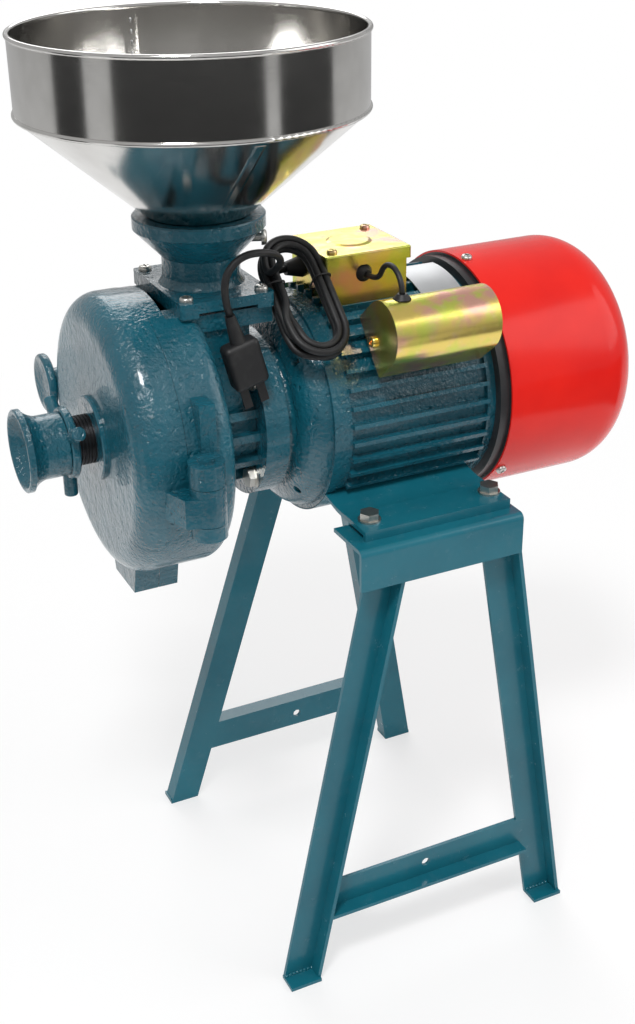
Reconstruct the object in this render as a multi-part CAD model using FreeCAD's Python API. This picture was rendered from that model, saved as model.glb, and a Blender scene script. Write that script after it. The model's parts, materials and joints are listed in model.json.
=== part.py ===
import FreeCAD
import Part
import math
import os

# Disc grain mill: a cast grinding head on the front of a finned electric motor, which stands on
# two A-frames of angle iron.  Millimetres, +Z up, X along the motor shaft with the grinding head
# at -X and the fan at +X, the hinge side at -Y.  The origin lies on the floor under the middle of
# the stand.

V = FreeCAD.Vector
X_AXIS = V(1, 0, 0)
Y_AXIS = V(0, 1, 0)
Z_AXIS = V(0, 0, 1)

# ---------------------------------------------------------------- clearances
RUN_FIT = 0.05        # radial running clearance of a shaft or pin
SEAT_FIT = 0.02       # radial clearance of a piece that is pressed or screwed in
SLIDE_GAP = 0.3       # clearance of loose sliding pieces
FACE_GAP = 0.4        # gap between a moving face and its neighbour

# ---------------------------------------------------------------- stand
STAND_TOP_Z = 381.5
STAND_LENGTH = 134.0          # length of a top angle, along X
STAND_HALF_WIDTH = 143.0      # outer face of a top angle, from the middle
PLATE = 3.0                   # thickness of all the angle iron
TOP_SHELF = 43.0              # flat flange of a top angle
TOP_APRON = 32.0              # hanging flange of a top angle
BEND_RADIUS = 5.0
LEG_WIDTH = 26.5
LEG_WEB = 12.0                # how far a leg's web stands out of its face
LEG_FOOT_X = 128.0            # outer edge of a leg at the floor
NEAR_LEG_TOPS = (-50.0, 64.0) # outer edges of the hinge side's legs at the top
FAR_LEG_TOPS = (-5.0, 66.0)   # outer edges of the other side's legs at the top
FOOT_TAB = 14.5
BRACE_HEIGHT = 27.0
BRACE_FLANGE = 12.0
NEAR_BRACE_Z = 57.0
FAR_BRACE_Z = 50.0
BRACE_HOLE_R = 3.6

# ---------------------------------------------------------------- motor
AXIS_Z = 442.4
FRAME_X0 = -50.0
FRAME_X1 = 77.0
FRAME_BORE_R = 75.0
FRAME_CORE_R = 80.5
FIN_R = 87.0
FIN_WIDTH = 3.2
FIN_COUNT = 40
FRAME_BAND = 7.0              # plain band at each end of the finned frame

FOOT_X0 = -57.0
FOOT_X1 = 63.0
FOOT_SHEET = 3.5
FOOT_LIP = 7.5
FOOT_HALF_WIDTH = 130.0
FOOT_PLATE = 31.0
FOOT_WRAP_ANGLE = 52.0        # half angle of the belly that the foot wraps
FOOT_BOLT_X = (-45.0, 55.0)
FOOT_BOLT_Y = 113.0
FOOT_BOLT_R = 4.0
HOLE_OVER_BOLT = 0.5

CORE_X0 = -16.0
CORE_X1 = 58.0
CORE_BORE_R = 45.0
AIR_GAP = 0.4
CORE_FIT = 0.1                # gap between the stator core and the frame
SLOT_COUNT = 24
SLOT_DEPTH = 14.0
SLOT_WIDTH = 6.0
COIL_END = 18.0

BEARING_BORE_R = 12.5
BEARING_OUT_R = 26.0
BEARING_WIDTH = 15.0
BALL_R = 3.9
BALL_COUNT = 8
FRONT_BEARING_X = -89.0
REAR_BEARING_X = 73.0

SHIELD_X0 = -91.0             # joint face of the mill body and the motor
SHIELD_FLANGE_R = 63.0
SHIELD_FLANGE = 8.0
SHIELD_WAIST_R = 55.0
SHIELD_RIM_R = 83.5
SHIELD_RIM = 7.0
SHIELD_WALL = 5.0
TIE_ROD_R = 2.5
TIE_ROD_CIRCLE_R = 71.0

REAR_RING_R = 90.5
REAR_RING = 9.0
COVER_SEAT = 9.0
FAN_COVER_R = 94.0
FAN_COVER_SHEET = 1.5
FAN_COVER_X0 = 85.0
FAN_COVER_X1 = 208.0
FAN_COVER_ROUND = 35.0
FAN_X0 = 112.0
FAN_DEPTH = 30.0
FAN_R = 80.0
FAN_BLADES = 9
FAN_HUB_R = 22.0

SHAFT_REAR_X = 150.0
SHAFT_R = 14.0
SHAFT_REAR_R = 10.0
SHAFT_MILL_R = 11.0
SHAFT_NOSE_R = 8.0

BOX_X0 = -38.0
BOX_X1 = 28.0
BOX_Y0 = -34.0
BOX_Y1 = 28.0
BOX_TOP_Z = 560.0
BOX_SHEET = 1.5
BOX_FOOT_Z = 522.0
LID_LIP = 9.0

CAP_X0 = -24.0
CAP_X1 = 60.0
CAP_ANGLE = 50.0              # from straight up towards the hinge side
CAP_COVER_R = 23.5
CAP_AXIS_R = 117.0            # distance of the capacitor from the motor axis
CAP_SHEET = 1.5
CAP_R = 20.0

# ---------------------------------------------------------------- mill body
SEAM_X = -174.8               # joint face of body and cover
DRUM_R = 102.0
DRUM_WALL = 6.0
DRUM_BACK_X = -138.0
DRUM_BACK_ROUND = 12.0
BACK_WALL_X = -150.0          # inner face of the back wall
FEED_TUBE_R = 44.0
FEED_BORE_R = 27.0
NECK_X = -120.4
THROAT_HALF = 20.0
PAD_Z = 536.0
PAD_HALF_X = 33.0
PAD_HALF_Y = 45.0
ADAPTER_FLANGE = 10.0
ADAPTER_BOLT_CIRCLE_R = 54.0
ADAPTER_BOLT_R = 4.0

DISC_R = 75.0
DISC_THICK = 10.0
DISC_GAP = 0.8
DISC_BORE_R = 27.0

COVER_FACE_X = -209.0
COVER_WALL = 5.0
COVER_ROUND = 20.0
BOSS_R = 31.0
BOSS_HEIGHT = 3.0

CHUTE_BOTTOM_Z = 321.0
CHUTE_TOP_Z = 356.0
CHUTE_X0 = -194.0
CHUTE_X1 = -160.0
CHUTE_HALF_TOP = 30.0
CHUTE_HALF_BOTTOM = 21.0
CHUTE_WALL = 4.0

HINGE_X = -168.0
HINGE_Y = -115.5
KNUCKLE_R = 12.5
KNUCKLE_Z = (407.0, 418.0, 445.0, 462.0)
HINGE_PIN_R = 4.0

LOCK_Y = 116.0
LOCK_Z = 444.0
LOCK_EAR_R = 13.0
LOCK_EAR = 12.0                # thickness of the body's ear
COVER_EAR = 16.0               # thickness of the cover's ear
CLIP_ROOM = 10.5               # depth of the clip's room in the cover's ear
LOCK_SCREW_R = 6.0
LOCK_STEM_R = 10.5
LOCK_KNOB_R = 23.0
LOCK_KNOB = 7.0
LOCK_KNOB_X = -213.0

SCREW_R = 18.0                # adjusting screw in the cover's boss
SCREW_PITCH = 2.5
KNOB_R = 23.0
KNOB_RIM_R = 30.0
KNOB_X0 = -263.0
KNOB_X1 = -232.5
LOCK_RING_R = 26.0
LOCK_RING = 6.0
LOCK_RING_LUG = 15.0
THRUST_BALL_R = 5.0

# ---------------------------------------------------------------- neck and hopper
NECK_FLANGE_X0 = -155.1
NECK_FLANGE_X1 = -85.5
NECK_FLANGE_HALF_Y = 48.7
NECK_FLANGE = 10.5
NECK_R = 27.7
NECK_BORE_R = 22.0
CUP_R = 46.7
CUP_Z = 595.0
CUP_LIP = 9.0
NECK_TOP_Z = 566.0
GATE_WIDTH = 43.0
GATE_THICK = 2.4
GATE_REACH = 28.0             # how far the closed gate reaches past the middle
NECK_SCREW_R = 2.5

HOPPER_R = 119.2
BEAD_R = 1.8
RIM_Z = 717.6
DRUM_BOTTOM_Z = 665.0
HOPPER_SHEET = 1.0
SPIGOT_R = 21.6
SPIGOT_LENGTH = 14.0
CONE_FOOT_R = 24.0
CONE_FOOT_Z = 584.0

# ---------------------------------------------------------------- power cord
CORD_D = 5.2
BEND_DIAMETERS = 4.0          # bend radius of cord and lead, in diameters
CORD_IN_GLAND = 0.2           # radial clearance of cord and lead in their glands
PLUG_TOP = V(-125.0, -60.7, 538.6)


# ================================================================ helpers
def box(x0, x1, y0, y1, z0, z1):
    """A box between two corners."""
    return Part.makeBox(x1 - x0, y1 - y0, z1 - z0, V(x0, y0, z0))


def cyl_x(x0, x1, r, y=0.0, z=AXIS_Z):
    """A cylinder along X."""
    return Part.makeCylinder(r, x1 - x0, V(x0, y, z), X_AXIS)


def cyl_y(y0, y1, r, x, z):
    """A cylinder along Y."""
    return Part.makeCylinder(r, y1 - y0, V(x, y0, z), Y_AXIS)


def cyl_z(z0, z1, r, x, y):
    """A cylinder along Z."""
    return Part.makeCylinder(r, z1 - z0, V(x, y, z0), Z_AXIS)


def prism_y(points, y0, y1):
    """A flat outline in X and Z, given depth along Y."""
    corners = [V(x, y0, z) for x, z in points]
    face = Part.Face(Part.makePolygon(corners + corners[:1]))
    return face.extrude(V(0, y1 - y0, 0))


def prism_x(points, x0, x1):
    """A flat outline in Y and Z, given length along X."""
    corners = [V(x0, y, z) for y, z in points]
    face = Part.Face(Part.makePolygon(corners + corners[:1]))
    return face.extrude(V(x1 - x0, 0, 0))


def turned(points, axis_x=None):
    """A turned piece.

    The outline is given as (along, radius) points; a point with a third value is the middle of an
    arc between its neighbours.  The axis is the motor's, or the upright one at axis_x.
    """
    def place(along, radius):
        if axis_x is None:
            return V(along, 0, AXIS_Z + radius)
        return V(axis_x + radius, 0, along)

    edges = []
    ring = points + points[:1]
    i = 0
    while i < len(ring) - 1:
        start = place(*ring[i][:2])
        if len(ring[i + 1]) == 3:
            end = place(*ring[i + 2][:2])
            edges.append(Part.Arc(start, place(*ring[i + 1][:2]), end).toShape())
            i += 2
        else:
            edges.append(Part.LineSegment(start, place(*ring[i + 1][:2])).toShape())
            i += 1
    face = Part.Face(Part.Wire(edges))
    if axis_x is None:
        return face.revolve(V(0, 0, AXIS_Z), X_AXIS, 360)
    return face.revolve(V(axis_x, 0, 0), Z_AXIS, 360)


def arc_mid(centre, radius, angle):
    """The point of an outline's arc at an angle, marked as an arc's middle."""
    a = math.radians(angle)
    return (centre[0] + radius * math.cos(a), centre[1] + radius * math.sin(a), "arc")


def on_motor(angle, radius, x=0.0):
    """The point at an angle from straight up, towards the hinge side, about the motor axis."""
    a = math.radians(angle)
    return V(x, -radius * math.sin(a), AXIS_Z + radius * math.cos(a))


def spun(shape, angle):
    """A copy turned about the motor axis, from straight up towards the hinge side."""
    copy = shape.copy()
    copy.rotate(V(0, 0, AXIS_Z), X_AXIS, angle)
    return copy


def ringed(shape, count, start=0.0):
    """Copies of a piece, evenly spaced about the motor axis."""
    return [spun(shape, start + 360.0 * i / count) for i in range(count)]


def aimed(shape, origin, direction):
    """A piece built upright from the origin, moved to a place and turned to a direction."""
    copy = shape.copy()
    turn = FreeCAD.Placement(origin, FreeCAD.Rotation(Z_AXIS, direction))
    copy.Placement = turn.multiply(copy.Placement)
    return copy


def half_turn(shape):
    """The copy of a piece on the other side of the stand."""
    copy = shape.copy()
    copy.rotate(V(0, 0, 0), Z_AXIS, 180)
    return copy


def fused(first, *others):
    """One solid from touching pieces."""
    return first.multiFuse(list(others)).removeSplitter()


def hexagon(across_flats, height):
    """An upright hexagonal prism."""
    r = across_flats / math.sqrt(3)
    corners = [V(r * math.cos(math.radians(60 * i)), r * math.sin(math.radians(60 * i)), 0)
               for i in range(6)]
    return Part.Face(Part.makePolygon(corners + corners[:1])).extrude(V(0, 0, height))


def hex_head(across_flats, height):
    """A hexagonal head with its top corners turned off."""
    cone_r = across_flats / 2 + 0.25 * height
    trim = Part.makeCone(cone_r + 2 * height, cone_r - 0.2 * height, 1.2 * height)
    return hexagon(across_flats, height).common(trim)


def hex_bolt(r, length):
    """A hexagon bolt with its head above the origin and its shank below."""
    head = hex_head(3.25 * r, 1.3 * r)
    return fused(head, Part.makeCylinder(r, length, V(0, 0, -length)))


def washer(r):
    """A flat washer that lies on the origin."""
    return Part.makeCylinder(2.1 * r, 0.35 * r).cut(Part.makeCylinder(r + HOLE_OVER_BOLT / 2, 0.35 * r))


def nut(r):
    """A hexagon nut that hangs under the origin."""
    body = hexagon(3.25 * r, 1.6 * r)
    body = body.cut(Part.makeCylinder(r + SEAT_FIT, 1.6 * r))
    body.translate(V(0, 0, -1.6 * r))
    return body


def pan_screw(r, length):
    """A domed cross-head screw with its head above the origin and its shank below."""
    head = Part.makeCylinder(1.9 * r, 1.3 * r)
    edge = [e for e in head.Edges if abs(e.CenterOfMass.z - 1.3 * r) < 1e-6]
    head = head.makeFillet(0.9 * r, edge)
    for angle in (0, 90):
        slot = Part.makeBox(2.4 * r, 0.5 * r, r, V(-1.2 * r, -0.25 * r, 0.7 * r))
        slot.rotate(V(0, 0, 0), Z_AXIS, angle)
        head = head.cut(slot)
    return fused(head, Part.makeCylinder(r, length, V(0, 0, -length)))


def tube_along(points, diameter):
    """A round tube along straight runs, with its length; each bend has four diameters' radius."""
    radius = BEND_DIAMETERS * diameter
    edges = []
    last = points[0]
    for before, corner, after in zip(points, points[1:], points[2:]):
        back = (before - corner).normalize()
        on = (after - corner).normalize()
        half_turn_angle = (math.pi - back.getAngle(on)) / 2
        trim = radius * math.tan(half_turn_angle)
        start = corner + back * trim
        end = corner + on * trim
        inward = (back + on).normalize()
        middle = corner + inward * (radius / math.cos(half_turn_angle) - radius)
        edges.append(Part.LineSegment(last, start).toShape())
        edges.append(Part.Arc(start, middle, end).toShape())
        last = end
    edges.append(Part.LineSegment(last, points[-1]).toShape())
    path = Part.Wire(edges)
    ring = Part.Wire(Part.makeCircle(diameter / 2, points[0], points[1] - points[0]))
    return path.makePipeShell([ring], True, False), path.Length


PARTS = {}


def keep(name, *solids):
    """Keep one sub-part under its name; a group of separate solids is kept as one compound."""
    PARTS[name] = solids[0] if len(solids) == 1 else Part.makeCompound(list(solids))


# ================================================================ stand
def top_angle(bolt_xs):
    """The hinge side's top angle: a shelf for the motor foot and an apron outside the legs."""
    half = STAND_LENGTH / 2
    outer = -STAND_HALF_WIDTH
    inner = outer + TOP_SHELF
    top = STAND_TOP_Z
    shelf = box(-half, half, outer, inner, top - PLATE, top)
    apron = box(-half, half, outer, outer + PLATE, top - TOP_APRON, top)
    angle = fused(shelf, apron)
    bend = [e for e in angle.Edges if abs(e.CenterOfMass.y - outer) < 1e-6
            and abs(e.CenterOfMass.z - top) < 1e-6 and e.Length > STAND_LENGTH - 1]
    angle = angle.makeFillet(BEND_RADIUS, bend)
    for x in bolt_xs:
        angle = angle.cut(cyl_z(top - 2 * PLATE, top + PLATE, FOOT_BOLT_R + HOLE_OVER_BOLT, x,
                                -FOOT_BOLT_Y))
    return angle


def leg_face_y():
    """The outer surface of the legs' faces on the hinge side; their webs reach the apron."""
    return -(STAND_HALF_WIDTH - PLATE - LEG_WEB)


def leg_edges(left, tops):
    """The low X edge of a leg at the floor and at the top, and the slope between them."""
    if left:
        foot = -LEG_FOOT_X
        top = tops[0]
    else:
        foot = LEG_FOOT_X - LEG_WIDTH
        top = tops[1] - LEG_WIDTH
    return foot, top, (top - foot) / (STAND_TOP_Z - PLATE)


def leg(left, tops):
    """A leaning leg of angle iron with its web outwards and a flat foot tab."""
    foot, top, _ = leg_edges(left, tops)
    height = STAND_TOP_Z - PLATE
    face_y = leg_face_y()
    face = prism_y([(foot, 0), (foot + LEG_WIDTH, 0), (top + LEG_WIDTH, height), (top, height)],
                   face_y, face_y + PLATE)
    web = prism_y([(foot + LEG_WIDTH - PLATE, 0), (foot + LEG_WIDTH, 0),
                   (top + LEG_WIDTH, height), (top + LEG_WIDTH - PLATE, height)],
                  face_y - LEG_WEB, face_y)
    tab = box(foot, foot + LEG_WIDTH, face_y - FOOT_TAB, face_y + PLATE, 0, PLATE)
    return fused(face, web, tab)


def brace(low_z, flange_on_top, tops):
    """A cross brace of angle iron, welded between the legs' faces."""
    left_foot, _, left_slope = leg_edges(True, tops)
    right_foot, _, right_slope = leg_edges(False, tops)
    high_z = low_z + BRACE_HEIGHT

    def row(z):
        return left_foot + LEG_WIDTH + left_slope * z, right_foot + right_slope * z

    low = row(low_z)
    high = row(high_z)
    face_y = leg_face_y()
    plate = prism_y([(low[0], low_z), (low[1], low_z), (high[1], high_z), (high[0], high_z)],
                    face_y, face_y + PLATE)
    flange_z = high_z - PLATE if flange_on_top else low_z
    bottom = row(flange_z)
    top = row(flange_z + PLATE)
    flange = prism_y([(bottom[0], flange_z), (bottom[1], flange_z), (top[1], flange_z + PLATE),
                      (top[0], flange_z + PLATE)], face_y - BRACE_FLANGE, face_y)
    middle_x = (low[0] + low[1]) / 2
    middle_z = low_z + BRACE_HEIGHT / 2 + (-PLATE / 2 if flange_on_top else PLATE / 2)
    hole = cyl_y(face_y - PLATE, face_y + 2 * PLATE, BRACE_HOLE_R, middle_x, middle_z)
    return fused(plate, flange).cut(hole)


def foot_fasteners():
    """The four bolts that hold the motor foot, with their washers, and the nuts below."""
    bolts = []
    nuts = []
    for x in FOOT_BOLT_X:
        for y in (-FOOT_BOLT_Y, FOOT_BOLT_Y):
            seat = V(x, y, STAND_TOP_Z + FOOT_LIP)
            ring = washer(FOOT_BOLT_R)
            bolts.append(aimed(ring, seat, Z_AXIS))
            head_seat = seat + V(0, 0, ring.BoundBox.ZMax)
            bolts.append(aimed(hex_bolt(FOOT_BOLT_R, FOOT_LIP + PLATE + 13), head_seat, Z_AXIS))
            nuts.append(aimed(nut(FOOT_BOLT_R), V(x, y, STAND_TOP_Z - PLATE), Z_AXIS))
    return bolts, nuts


# ================================================================ motor
def motor_foot():
    """The pressed foot: it wraps the belly, flares out to two flat plates and turns down a lip."""
    inner_r = FRAME_CORE_R + 0.5
    outer_r = inner_r + FOOT_SHEET
    top = STAND_TOP_Z + FOOT_LIP
    wrap = math.radians(FOOT_WRAP_ANGLE)
    plate_in = FOOT_HALF_WIDTH - FOOT_PLATE
    flare_r = 14.0

    def side(sign, r, z_plate):
        start = (sign * r * math.sin(wrap), AXIS_Z - r * math.cos(wrap))
        return start, (sign * plate_in, z_plate)

    def sheet(sign):
        start_in, end_in = side(sign, inner_r, top)
        start_out, end_out = side(sign, outer_r, top - FOOT_SHEET)
        mid_in = (start_in[0] + 0.62 * (end_in[0] - start_in[0]),
                  start_in[1] + 0.62 * (end_in[1] - start_in[1]) - 0.12 * flare_r)
        mid_out = (start_out[0] + 0.62 * (end_out[0] - start_out[0]),
                   start_out[1] + 0.62 * (end_out[1] - start_out[1]) - 0.12 * flare_r)

        def at(point):
            return V(FOOT_X0, point[0], point[1])

        tip_out = V(FOOT_X0, sign * FOOT_HALF_WIDTH, top)
        lip_out = V(FOOT_X0, sign * FOOT_HALF_WIDTH, STAND_TOP_Z)
        lip_in = V(FOOT_X0, sign * (FOOT_HALF_WIDTH - FOOT_SHEET), STAND_TOP_Z)
        tip_in = V(FOOT_X0, sign * (FOOT_HALF_WIDTH - FOOT_SHEET), top - FOOT_SHEET)
        edges = [Part.Arc(at(start_in), at(mid_in), at(end_in)).toShape(),
                 Part.LineSegment(at(end_in), tip_out).toShape(),
                 Part.LineSegment(tip_out, lip_out).toShape(),
                 Part.LineSegment(lip_out, lip_in).toShape(),
                 Part.LineSegment(lip_in, tip_in).toShape(),
                 Part.LineSegment(tip_in, at(end_out)).toShape(),
                 Part.Arc(at(end_out), at(mid_out), at(start_out)).toShape(),
                 Part.LineSegment(at(start_out), at(start_in)).toShape()]
        return Part.Face(Part.Wire(edges)).extrude(V(FOOT_X1 - FOOT_X0, 0, 0))

    belt = cyl_x(FOOT_X0, FOOT_X1, outer_r).cut(cyl_x(FOOT_X0, FOOT_X1, inner_r))
    reach = 2 * outer_r
    wedge = prism_x([(0, AXIS_Z), (reach * math.sin(wrap), AXIS_Z - reach * math.cos(wrap)),
                     (-reach * math.sin(wrap), AXIS_Z - reach * math.cos(wrap))], FOOT_X0, FOOT_X1)
    foot = fused(belt.common(wedge), sheet(1), sheet(-1))
    foot = foot.cut(cyl_x(FOOT_X0 - 1, FRAME_X0 + SLIDE_GAP, SHIELD_RIM_R + FACE_GAP))
    for x in FOOT_BOLT_X:
        for y in (-FOOT_BOLT_Y, FOOT_BOLT_Y):
            foot = foot.cut(cyl_z(STAND_TOP_Z, top + 1, FOOT_BOLT_R + HOLE_OVER_BOLT, x, y))
    return foot


def motor_frame():
    """The cast frame: a tube with plain end bands and fins along it, bare under the foot."""
    ring = cyl_x(FRAME_X0, FRAME_X1, FRAME_CORE_R)
    bands = [cyl_x(FRAME_X0, FRAME_X0 + FRAME_BAND, SHIELD_RIM_R),
             cyl_x(FRAME_X1 - FRAME_BAND, FRAME_X1, SHIELD_RIM_R)]
    fin = box(FRAME_X0 + FRAME_BAND, FRAME_X1 - FRAME_BAND, -FIN_WIDTH / 2, FIN_WIDTH / 2,
              AXIS_Z + FRAME_CORE_R - 1, AXIS_Z + FIN_R)
    step = 360.0 / FIN_COUNT
    fins = []
    for i in range(FIN_COUNT):
        angle = step * (i + 0.5)
        if abs(angle - 180) > FOOT_WRAP_ANGLE + 0.6 * step:
            fins.append(spun(fin, angle))
    body = fused(ring, *(bands + fins))
    foot_room = cyl_x(FOOT_X0 - 1, FOOT_X1 + 1, SHIELD_RIM_R + 10).cut(
        cyl_x(FOOT_X0 - 1, FOOT_X1 + 1, FRAME_CORE_R))
    reach = 3 * FRAME_CORE_R
    wrap = math.radians(FOOT_WRAP_ANGLE + 0.45 * step)
    wedge = prism_x([(0, AXIS_Z), (reach * math.sin(wrap), AXIS_Z - reach * math.cos(wrap)),
                     (-reach * math.sin(wrap), AXIS_Z - reach * math.cos(wrap))],
                    FOOT_X0 - 1, FOOT_X1 + 1)
    body = body.cut(foot_room.common(wedge))
    pad = box(BOX_X0 + 4, BOX_X1 - 4, BOX_Y0 + 5, BOX_Y1 - 5, AXIS_Z + FRAME_CORE_R - 6, BOX_FOOT_Z)
    clip = box(CAP_X0 + 10, CAP_X1 - 10, -9, 9, AXIS_Z + FRAME_CORE_R - 1,
               AXIS_Z + CAP_AXIS_R - CAP_COVER_R)
    body = fused(body, pad, spun(clip, CAP_ANGLE))
    window = cyl_z(AXIS_Z, BOX_FOOT_Z + 1, 9, (BOX_X0 + BOX_X1) / 2, (BOX_Y0 + BOX_Y1) / 2)
    bore = cyl_x(FRAME_X0 - 1, FRAME_X1 + 1, FRAME_BORE_R)
    box_room = box(BOX_X0, BOX_X1, BOX_Y0, BOX_Y1, BOX_FOOT_Z, BOX_TOP_Z)
    return body.cut(bore).cut(window).cut(box_room)


def stator_core():
    """The laminated core with its slots and the notches for the tie rods."""
    core = cyl_x(CORE_X0, CORE_X1, FRAME_BORE_R - CORE_FIT)
    core = core.cut(cyl_x(CORE_X0 - 1, CORE_X1 + 1, CORE_BORE_R))
    slot = box(CORE_X0 - 1, CORE_X1 + 1, -SLOT_WIDTH / 2, SLOT_WIDTH / 2,
               AXIS_Z + CORE_BORE_R - 1, AXIS_Z + CORE_BORE_R + SLOT_DEPTH)
    notch = box(CORE_X0 - 1, CORE_X1 + 1, -TIE_ROD_R - 0.5, TIE_ROD_R + 0.5,
                AXIS_Z + TIE_ROD_CIRCLE_R - TIE_ROD_R - 0.5, AXIS_Z + FRAME_BORE_R + 1)
    cuts = ringed(slot, SLOT_COUNT) + ringed(notch, 4, 45)
    return core.cut(Part.makeCompound(cuts))


def windings():
    """The copper: a bar in each slot and the turns' ends at both sides of the core."""
    inner = CORE_BORE_R + 2.0
    outer = CORE_BORE_R + SLOT_DEPTH - 0.5
    ends = []
    for x0, x1 in ((CORE_X0 - COIL_END, CORE_X0 - 1), (CORE_X1 + 1, CORE_X1 + COIL_END - 6)):
        ends.append(cyl_x(x0, x1, outer).cut(cyl_x(x0, x1, inner)))
    bar = box(CORE_X0 - 2, CORE_X1 + 2, -SLOT_WIDTH / 2 + 0.4, SLOT_WIDTH / 2 - 0.4,
              AXIS_Z + inner + 1, AXIS_Z + outer - 1)
    return fused(ends[0], ends[1], *ringed(bar, SLOT_COUNT))


def bearing(x0):
    """A ball bearing: outer ring, inner ring and balls."""
    x1 = x0 + BEARING_WIDTH
    pitch_r = (BEARING_BORE_R + BEARING_OUT_R) / 2
    middle = (x0 + x1) / 2
    shoulder = BALL_R * 0.72
    track = Part.makeTorus(pitch_r, BALL_R + RUN_FIT, V(middle, 0, AXIS_Z), X_AXIS)
    outer = cyl_x(x0, x1, BEARING_OUT_R).cut(cyl_x(x0, x1, pitch_r + shoulder)).cut(track)
    inner = cyl_x(x0, x1, pitch_r - shoulder).cut(cyl_x(x0, x1, BEARING_BORE_R + SEAT_FIT)).cut(track)
    ball = Part.makeSphere(BALL_R, V(middle, 0, AXIS_Z + pitch_r))
    return outer, inner, ringed(ball, BALL_COUNT)


def front_shield():
    """The front end shield: a flange for the mill body, a waist and a bell to the frame."""
    x0 = SHIELD_X0
    x1 = x0 + SHIELD_FLANGE
    rim0 = FRAME_X0 - SHIELD_RIM
    bell = SHIELD_RIM_R - 3.0
    waist = SHIELD_WAIST_R
    inner_bell = bell - SHIELD_WALL
    hub = BEARING_OUT_R + 6
    back = FRONT_BEARING_X + BEARING_WIDTH
    outline = [(x0, BEARING_BORE_R + 3), (x0, SHIELD_FLANGE_R), (x1, SHIELD_FLANGE_R), (x1, waist + 4),
               (x1 + 3, waist, "arc"), (x1 + 7, waist + 3), (rim0 - 7, bell - 2, "arc"), (rim0, bell),
               (rim0, SHIELD_RIM_R), (FRAME_X0, SHIELD_RIM_R), (FRAME_X0, inner_bell),
               (rim0, inner_bell), (x1 + 9, waist - 3, "arc"), (x1 + 4, waist - 8), (x1 + 4, hub),
               (back, hub), (back, BEARING_OUT_R + SEAT_FIT),
               (FRONT_BEARING_X, BEARING_OUT_R + SEAT_FIT), (FRONT_BEARING_X, BEARING_BORE_R + 3)]
    shield = turned(outline)
    hole = cyl_x(x0 - 1, x1 + 1, ADAPTER_BOLT_R + SEAT_FIT, 0, AXIS_Z + ADAPTER_BOLT_CIRCLE_R)
    rod = cyl_x(rim0 - 40, FRAME_X0 + 1, TIE_ROD_R + HOLE_OVER_BOLT, 0, AXIS_Z + TIE_ROD_CIRCLE_R)
    return shield.cut(Part.makeCompound(ringed(hole, 4, 45) + ringed(rod, 4, 45)))


def rear_shield():
    """The rear end shield: a ring that shows, a seat for the fan cover and the bearing's hub."""
    x0 = FRAME_X1
    x1 = x0 + REAR_RING
    seat = FAN_COVER_R - FAN_COVER_SHEET - SEAT_FIT
    hub = BEARING_OUT_R + 6
    bearing_end = REAR_BEARING_X + BEARING_WIDTH
    outline = [(x0, FRAME_BORE_R - 4), (x0, REAR_RING_R), (x1 - 1, REAR_RING_R), (x1 - 1, seat),
               (x1 + COVER_SEAT, seat), (x1 + COVER_SEAT, seat - 4), (x1, seat - 6),
               (x1, hub + 3), (bearing_end + 3, hub), (bearing_end + 3, BEARING_BORE_R + 3),
               (bearing_end, BEARING_BORE_R + 3), (bearing_end, BEARING_OUT_R + SEAT_FIT),
               (REAR_BEARING_X, BEARING_OUT_R + SEAT_FIT), (REAR_BEARING_X, hub),
               (x0 + 4, hub + 3), (x0 + 4, FRAME_BORE_R - 4)]
    shield = turned(outline)
    rod = cyl_x(x0 - 1, x1 + 1, TIE_ROD_R + SEAT_FIT, 0, AXIS_Z + TIE_ROD_CIRCLE_R)
    screws = [cyl_at_angle(angle, seat - 9, seat + 2, FAN_SCREW_R + SEAT_FIT) for angle in FAN_SCREW_ANGLES]
    return shield.cut(Part.makeCompound(ringed(rod, 4, 45) + screws))


FAN_SCREW_R = 2.2
FAN_SCREW_ANGLES = (8.0, 128.0, 248.0)
FAN_SCREW_X = FRAME_X1 + REAR_RING + 0.5 * COVER_SEAT


def cyl_at_angle(angle, r0, r1, r):
    """A small radial cylinder on the fan cover's seat."""
    start = on_motor(angle, r0, FAN_SCREW_X)
    return Part.makeCylinder(r, r1 - r0, start, on_motor(angle, r1, FAN_SCREW_X) - start)


def tie_rods():
    """The four long rods that clamp the end shields to the frame."""
    x0 = FRAME_X0 - SHIELD_RIM - 12
    x1 = FRAME_X1 + REAR_RING
    rod = cyl_x(x0, x1, TIE_ROD_R, 0, AXIS_Z + TIE_ROD_CIRCLE_R)
    end = aimed(hexagon(8, 4), V(x1, 0, AXIS_Z + TIE_ROD_CIRCLE_R), X_AXIS)
    return ringed(fused(rod, end), 4, 45)


def fan():
    """The cooling fan: a hub, a back plate and straight blades."""
    x1 = FAN_X0 + FAN_DEPTH
    hub = cyl_x(FAN_X0, x1, FAN_HUB_R)
    plate = cyl_x(FAN_X0, FAN_X0 + 2.5, FAN_R)
    blade = box(FAN_X0 + 1, x1 - 4, -1.2, 1.2, AXIS_Z + FAN_HUB_R - 2, AXIS_Z + FAN_R)
    body = fused(hub, plate, *ringed(blade, FAN_BLADES))
    return body.cut(cyl_x(FAN_X0 - 1, x1 + 1, SHAFT_REAR_R + SEAT_FIT))


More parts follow.
